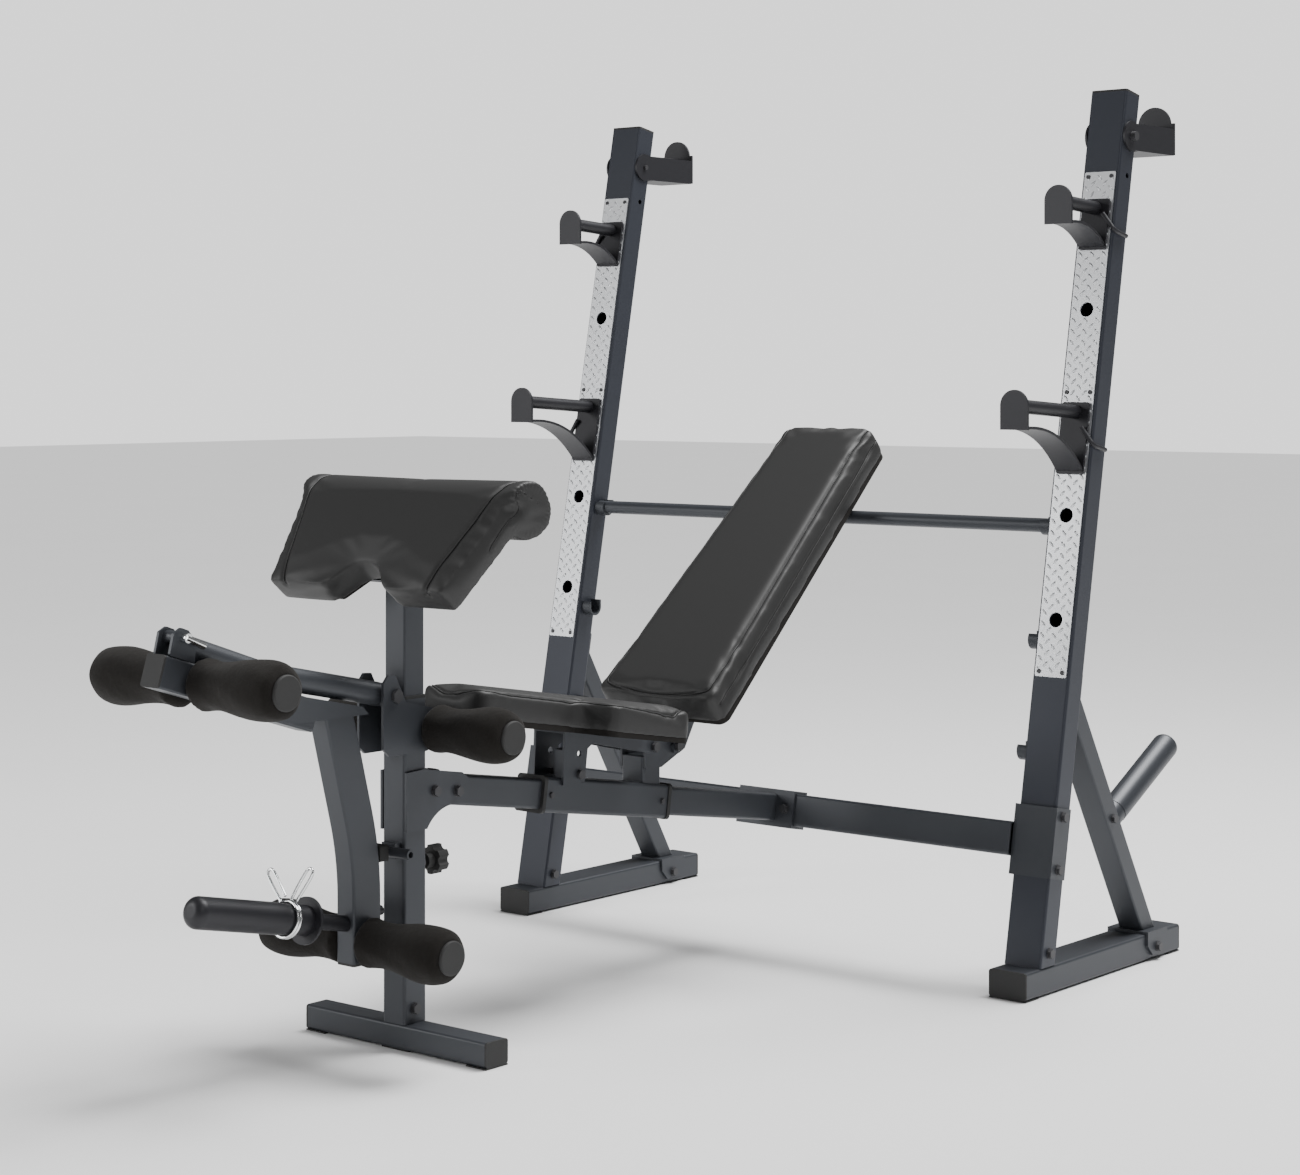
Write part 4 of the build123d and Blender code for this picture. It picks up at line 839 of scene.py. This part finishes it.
@dataclass
class TreadRelief:
    """Raised lozenges of the tread plates on the uprights."""

    foot: tuple[float, float] = (0.941, 0.050)
    lean: float = math.radians(11.0)
    low: float = 0.507
    high: float = 1.432
    face: float = -0.002
    holes: tuple[float, ...] = (1.363, 1.1745, 0.986, 0.7975, 0.609)
    pitch: float = 0.0205
    across: float = 0.0245

    def lozenge(self, name: str, turn: float) -> bpy.types.Object:
        """One raised bar, cut flat below.

        Args:
            name: its name.
            turn: its angle to the plate's length, in degrees.

        Returns:
            The bar, lying on the XY plane.
        """
        bpy.ops.object.select_all(action="DESELECT")
        bpy.ops.mesh.primitive_uv_sphere_add(segments=10, ring_count=6, radius=1.0)
        bar = take_new(name)
        bpy.ops.object.mode_set(mode="EDIT")
        bpy.ops.mesh.select_all(action="SELECT")
        bpy.ops.mesh.bisect(plane_co=(0, 0, -0.25), plane_no=(0, 0, 1), use_fill=True, clear_inner=True)
        bpy.ops.mesh.select_all(action="SELECT")
        bpy.ops.transform.resize(value=(0.0024, 0.0068, 0.0015), center_override=(0.0, 0.0, 0.0))
        bpy.ops.object.mode_set(mode="OBJECT")
        settle(bar, Matrix.Rotation(math.radians(turn), 4, "Z"))
        return bar

    def rows(self, bar: bpy.types.Object, across: int, start: tuple[float, float]) -> None:
        """Repeats a bar across and along the plate, then clears it from holes and edges."""
        count = len(bar.data.vertices)
        along = int((self.high - self.low) / self.pitch)
        for number, step in ((across, (self.across, 0.0, 0.0)), (along, (0.0, self.pitch, 0.0))):
            modified(bar, "ARRAY", count=number, use_relative_offset=False, use_constant_offset=True,
                     constant_offset_displace=step)
        settle(bar, Matrix.Translation((start[0], start[1], 0.0)))
        bad: set[int] = set()
        verts = bar.data.vertices
        for first in range(0, len(verts), count):
            group = range(first, first + count)
            x = sum(verts[i].co.x for i in group) / count
            y = sum(verts[i].co.y for i in group) / count
            near_hole = any(math.hypot(x, y - hole) < 0.0195 for hole in self.holes)
            if near_hole or y < self.low + 0.006 or y > self.high - 0.006:
                bad.update(group)
        only(bar)
        bpy.ops.object.mode_set(mode="EDIT")
        bpy.ops.mesh.select_mode(type="VERT")
        bpy.ops.mesh.select_all(action="DESELECT")
        mesh = bmesh.from_edit_mesh(bar.data)
        for vertex in mesh.verts:
            vertex.select_set(vertex.index in bad)
        bmesh.update_edit_mesh(bar.data)
        bpy.ops.mesh.delete(type="VERT")
        bpy.ops.object.mode_set(mode="OBJECT")

    def build(self) -> None:
        """Makes the relief once, then a copy for each upright."""
        first = self.lozenge("tread_relief_right", 42.0)
        self.rows(first, 3, (-self.across, self.low + 0.012))
        second = self.lozenge("tread_relief_b", -42.0)
        self.rows(second, 2, (-self.across / 2, self.low + 0.012 + self.pitch / 2))
        only(first)
        second.select_set(True)
        bpy.ops.object.join()
        other = first.copy()
        other.data = first.data.copy()
        other.name = "tread_relief_left"
        bpy.context.scene.collection.objects.link(other)
        c, s = math.cos(self.lean), math.sin(self.lean)
        for piece, side in ((first, 1.0), (other, -1.0)):
            place = Matrix(((1, 0, 0, side * 0.580), (0, s, -c, self.foot[0] + self.face * c),
                            (0, c, s, self.foot[1] - self.face * s), (0, 0, 0, 1)))
            settle(piece, place)
            dress(piece, Finish.TREAD_STEEL, "frame")


@dataclass
class SpringClip:
    """Wire clip on the loading sleeve: two turns and two handle loops."""

    rise: float = math.radians(12.0)
    base: Point = (0.0, -0.132, 0.2195)
    at: float = 0.128
    ring: float = 0.0279
    wire: float = 0.0024

    def build(self) -> bpy.types.Object:
        """Winds the wire and rides it with the sliding clip."""
        axis = Vector((0.0, -math.cos(self.rise), math.sin(self.rise)))
        up = Vector((0.0, math.sin(self.rise), math.cos(self.rise)))
        side = Vector((1.0, 0.0, 0.0))
        mid = Vector(self.base) + axis * self.at

        def spot(turn: float, reach: float, shift: float) -> Vector:
            """A point round the sleeve, turn in degrees from the top."""
            a = math.radians(turn)
            return mid + side * (math.sin(a) * reach) + up * (math.cos(a) * reach) + axis * shift

        def loop(turn: float, shift: float) -> list[Vector]:
            """A handle: out along one leg and back along the other."""
            a = math.radians(turn)
            out = side * math.sin(a) + up * math.cos(a)
            across = side * math.cos(a) - up * math.sin(a)
            root = mid + up * 0.022 + out * 0.012 + axis * shift
            return [root + across * 0.0062, root + across * 0.0078 + out * 0.048, root + across * 0.004 + out * 0.056,
                    root - across * 0.004 + out * 0.056, root - across * 0.0078 + out * 0.048, root - across * 0.0062]

        line: list[Vector] = list(loop(-46.0, 0.005))
        for number in range(0, 49):
            turn = -20.0 - number * 14.6
            line.append(spot(turn, self.ring, 0.0055 - 0.011 * number / 48.0))
        line.extend(reversed(loop(30.0, -0.005)))
        path = spaced(rounded_path(line, False, 2), 0.0016)
        piece = tube_along("spring_clip_wire", path, self.wire)
        dress(piece, Finish.CHROME_WIRE, "spring_clip")
        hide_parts("spring_clip")
        return piece


# ------------------------------------------------------------------ studio
@dataclass
class Studio:
    """Pale floor, soft lights and the camera."""

    place: Point = (3.0375, -3.0473, 1.0852)
    heading: float = math.radians(39.62)
    lens: float = 73.45
    drop: float = -0.1637

    def floor(self) -> None:
        """Lays a plain flat floor."""
        bpy.ops.object.select_all(action="DESELECT")
        bpy.ops.mesh.primitive_plane_add(size=60.0, location=(0.0, 0.5, -0.0005))
        ground = take_new("studio_floor")
        ground.data.materials.append(PaleFloor().make())

    def lamp(self, name: str, place: Point, aim: Point, size: tuple[float, float], power: float) -> None:
        """Hangs one soft light."""
        data = bpy.data.lights.new(name, "AREA")
        data.shape = "RECTANGLE"
        data.size, data.size_y = size
        data.energy = power
        lamp = bpy.data.objects.new(name, data)
        bpy.context.scene.collection.objects.link(lamp)
        lamp.location = place
        lamp.rotation_euler = (Vector(aim) - Vector(place)).to_track_quat("-Z", "Y").to_euler()

    def lights(self) -> None:
        """A wide light overhead, one at each side, a soft sun and an even sky."""
        self.lamp("top_light", (1.2, 2.4, 4.2), (0.0, 0.6, 0.0), (2.2, 1.8), 190.0)
        self.lamp("front_light", (-2.9, -3.3, 1.9), (0.0, 0.3, 0.7), (1.3, 2.0), 80.0)
        self.lamp("side_light", (3.4, -2.6, 3.2), (0.2, 0.2, 0.6), (0.4, 1.6), 26.0)
        sun = bpy.data.lights.new("soft_sun", "SUN")
        sun.energy = 3.2
        sun.angle = math.radians(36.0)
        shine = bpy.data.objects.new("soft_sun", sun)
        bpy.context.scene.collection.objects.link(shine)
        shine.rotation_euler = Vector((0.10, 0.34, 1.0)).to_track_quat("Z", "Y").to_euler()
        world = bpy.data.worlds.new("studio_sky")
        world.use_nodes = True
        tree = world.node_tree
        dim = tree.nodes["Background"]
        dim.inputs["Color"].default_value = (1.0, 1.0, 1.0, 1.0)
        dim.inputs["Strength"].default_value = 0.16
        pale = tree.nodes.new("ShaderNodeBackground")
        pale.inputs["Color"].default_value = (1.0, 1.0, 1.0, 1.0)
        pale.inputs["Strength"].default_value = 1.5
        rays = tree.nodes.new("ShaderNodeLightPath")
        mix = tree.nodes.new("ShaderNodeMixShader")
        tree.links.new(rays.outputs["Is Camera Ray"], mix.inputs[0])
        tree.links.new(dim.outputs[0], mix.inputs[1])
        tree.links.new(pale.outputs[0], mix.inputs[2])
        tree.links.new(mix.outputs[0], tree.nodes["World Output"].inputs["Surface"])
        bpy.context.scene.world = world

    def camera(self) -> None:
        """Sets the camera level at its place, with the frame shifted down."""
        data = bpy.data.cameras.new("bench_camera")
        data.sensor_fit = "HORIZONTAL"
        data.sensor_width = 36.0
        data.lens = self.lens
        data.shift_y = self.drop
        data.clip_end = 100.0
        camera = bpy.data.objects.new("bench_camera", data)
        bpy.context.scene.collection.objects.link(camera)
        camera.location = self.place
        camera.rotation_euler = (math.radians(90.0), 0.0, self.heading)
        bpy.context.scene.camera = camera

    def build(self) -> None:
        """Sets up floor, lights and camera."""
        self.floor()
        self.lights()
        self.camera()


def dress_frame() -> None:
    """Gives every carried-over node the finish of its material slot."""
    slots = {row["node"]: row["material_slot"] for row in frame["record"]["subparts"]}
    for name, node in frame["nodes"].items():
        finish = Finish[slots[name].upper()]
        node.data.materials.clear()
        node.data.materials.append(finish.material())
        only(node)
        bpy.ops.object.shade_smooth_by_angle(angle=math.radians(28.0))
        LOG.info("%s: %s", name, finish.slot)


def main() -> None:
    """Builds the studio, the finishes and the soft and bright pieces in order."""
    logging.basicConfig(level=logging.INFO)
    Studio().build()
    dress_frame()
    back = math.radians(41.0)
    seat = math.radians(9.3)
    curl = math.radians(51.5)
    Backrest("back_pad", "backrest_cushion", "backrest", Vector((0.0, -math.sin(back), math.cos(back)))).build()
    Seat("seat_pad", "seat_cushion", "frame", Vector((0.0, math.sin(seat), math.cos(seat))), voxel=0.0045).build()
    CurlPad("preacher_pad", "curl_cushion", "preacher", Vector((0.0, -math.sin(curl), math.cos(curl))), cap=0.009,
            soften=14).build()
    for word, axis in (("front", (-0.443, 0.627)), ("low", (-0.102, 0.188)), ("seat", (0.0385, 0.512))):
        for side in ("left", "right"):
            FoamRoller(f"foam_{word}_{side}", axis).build()
    TreadRelief().build()
    SpringClip().build()


if __name__ == "__main__":
    main()
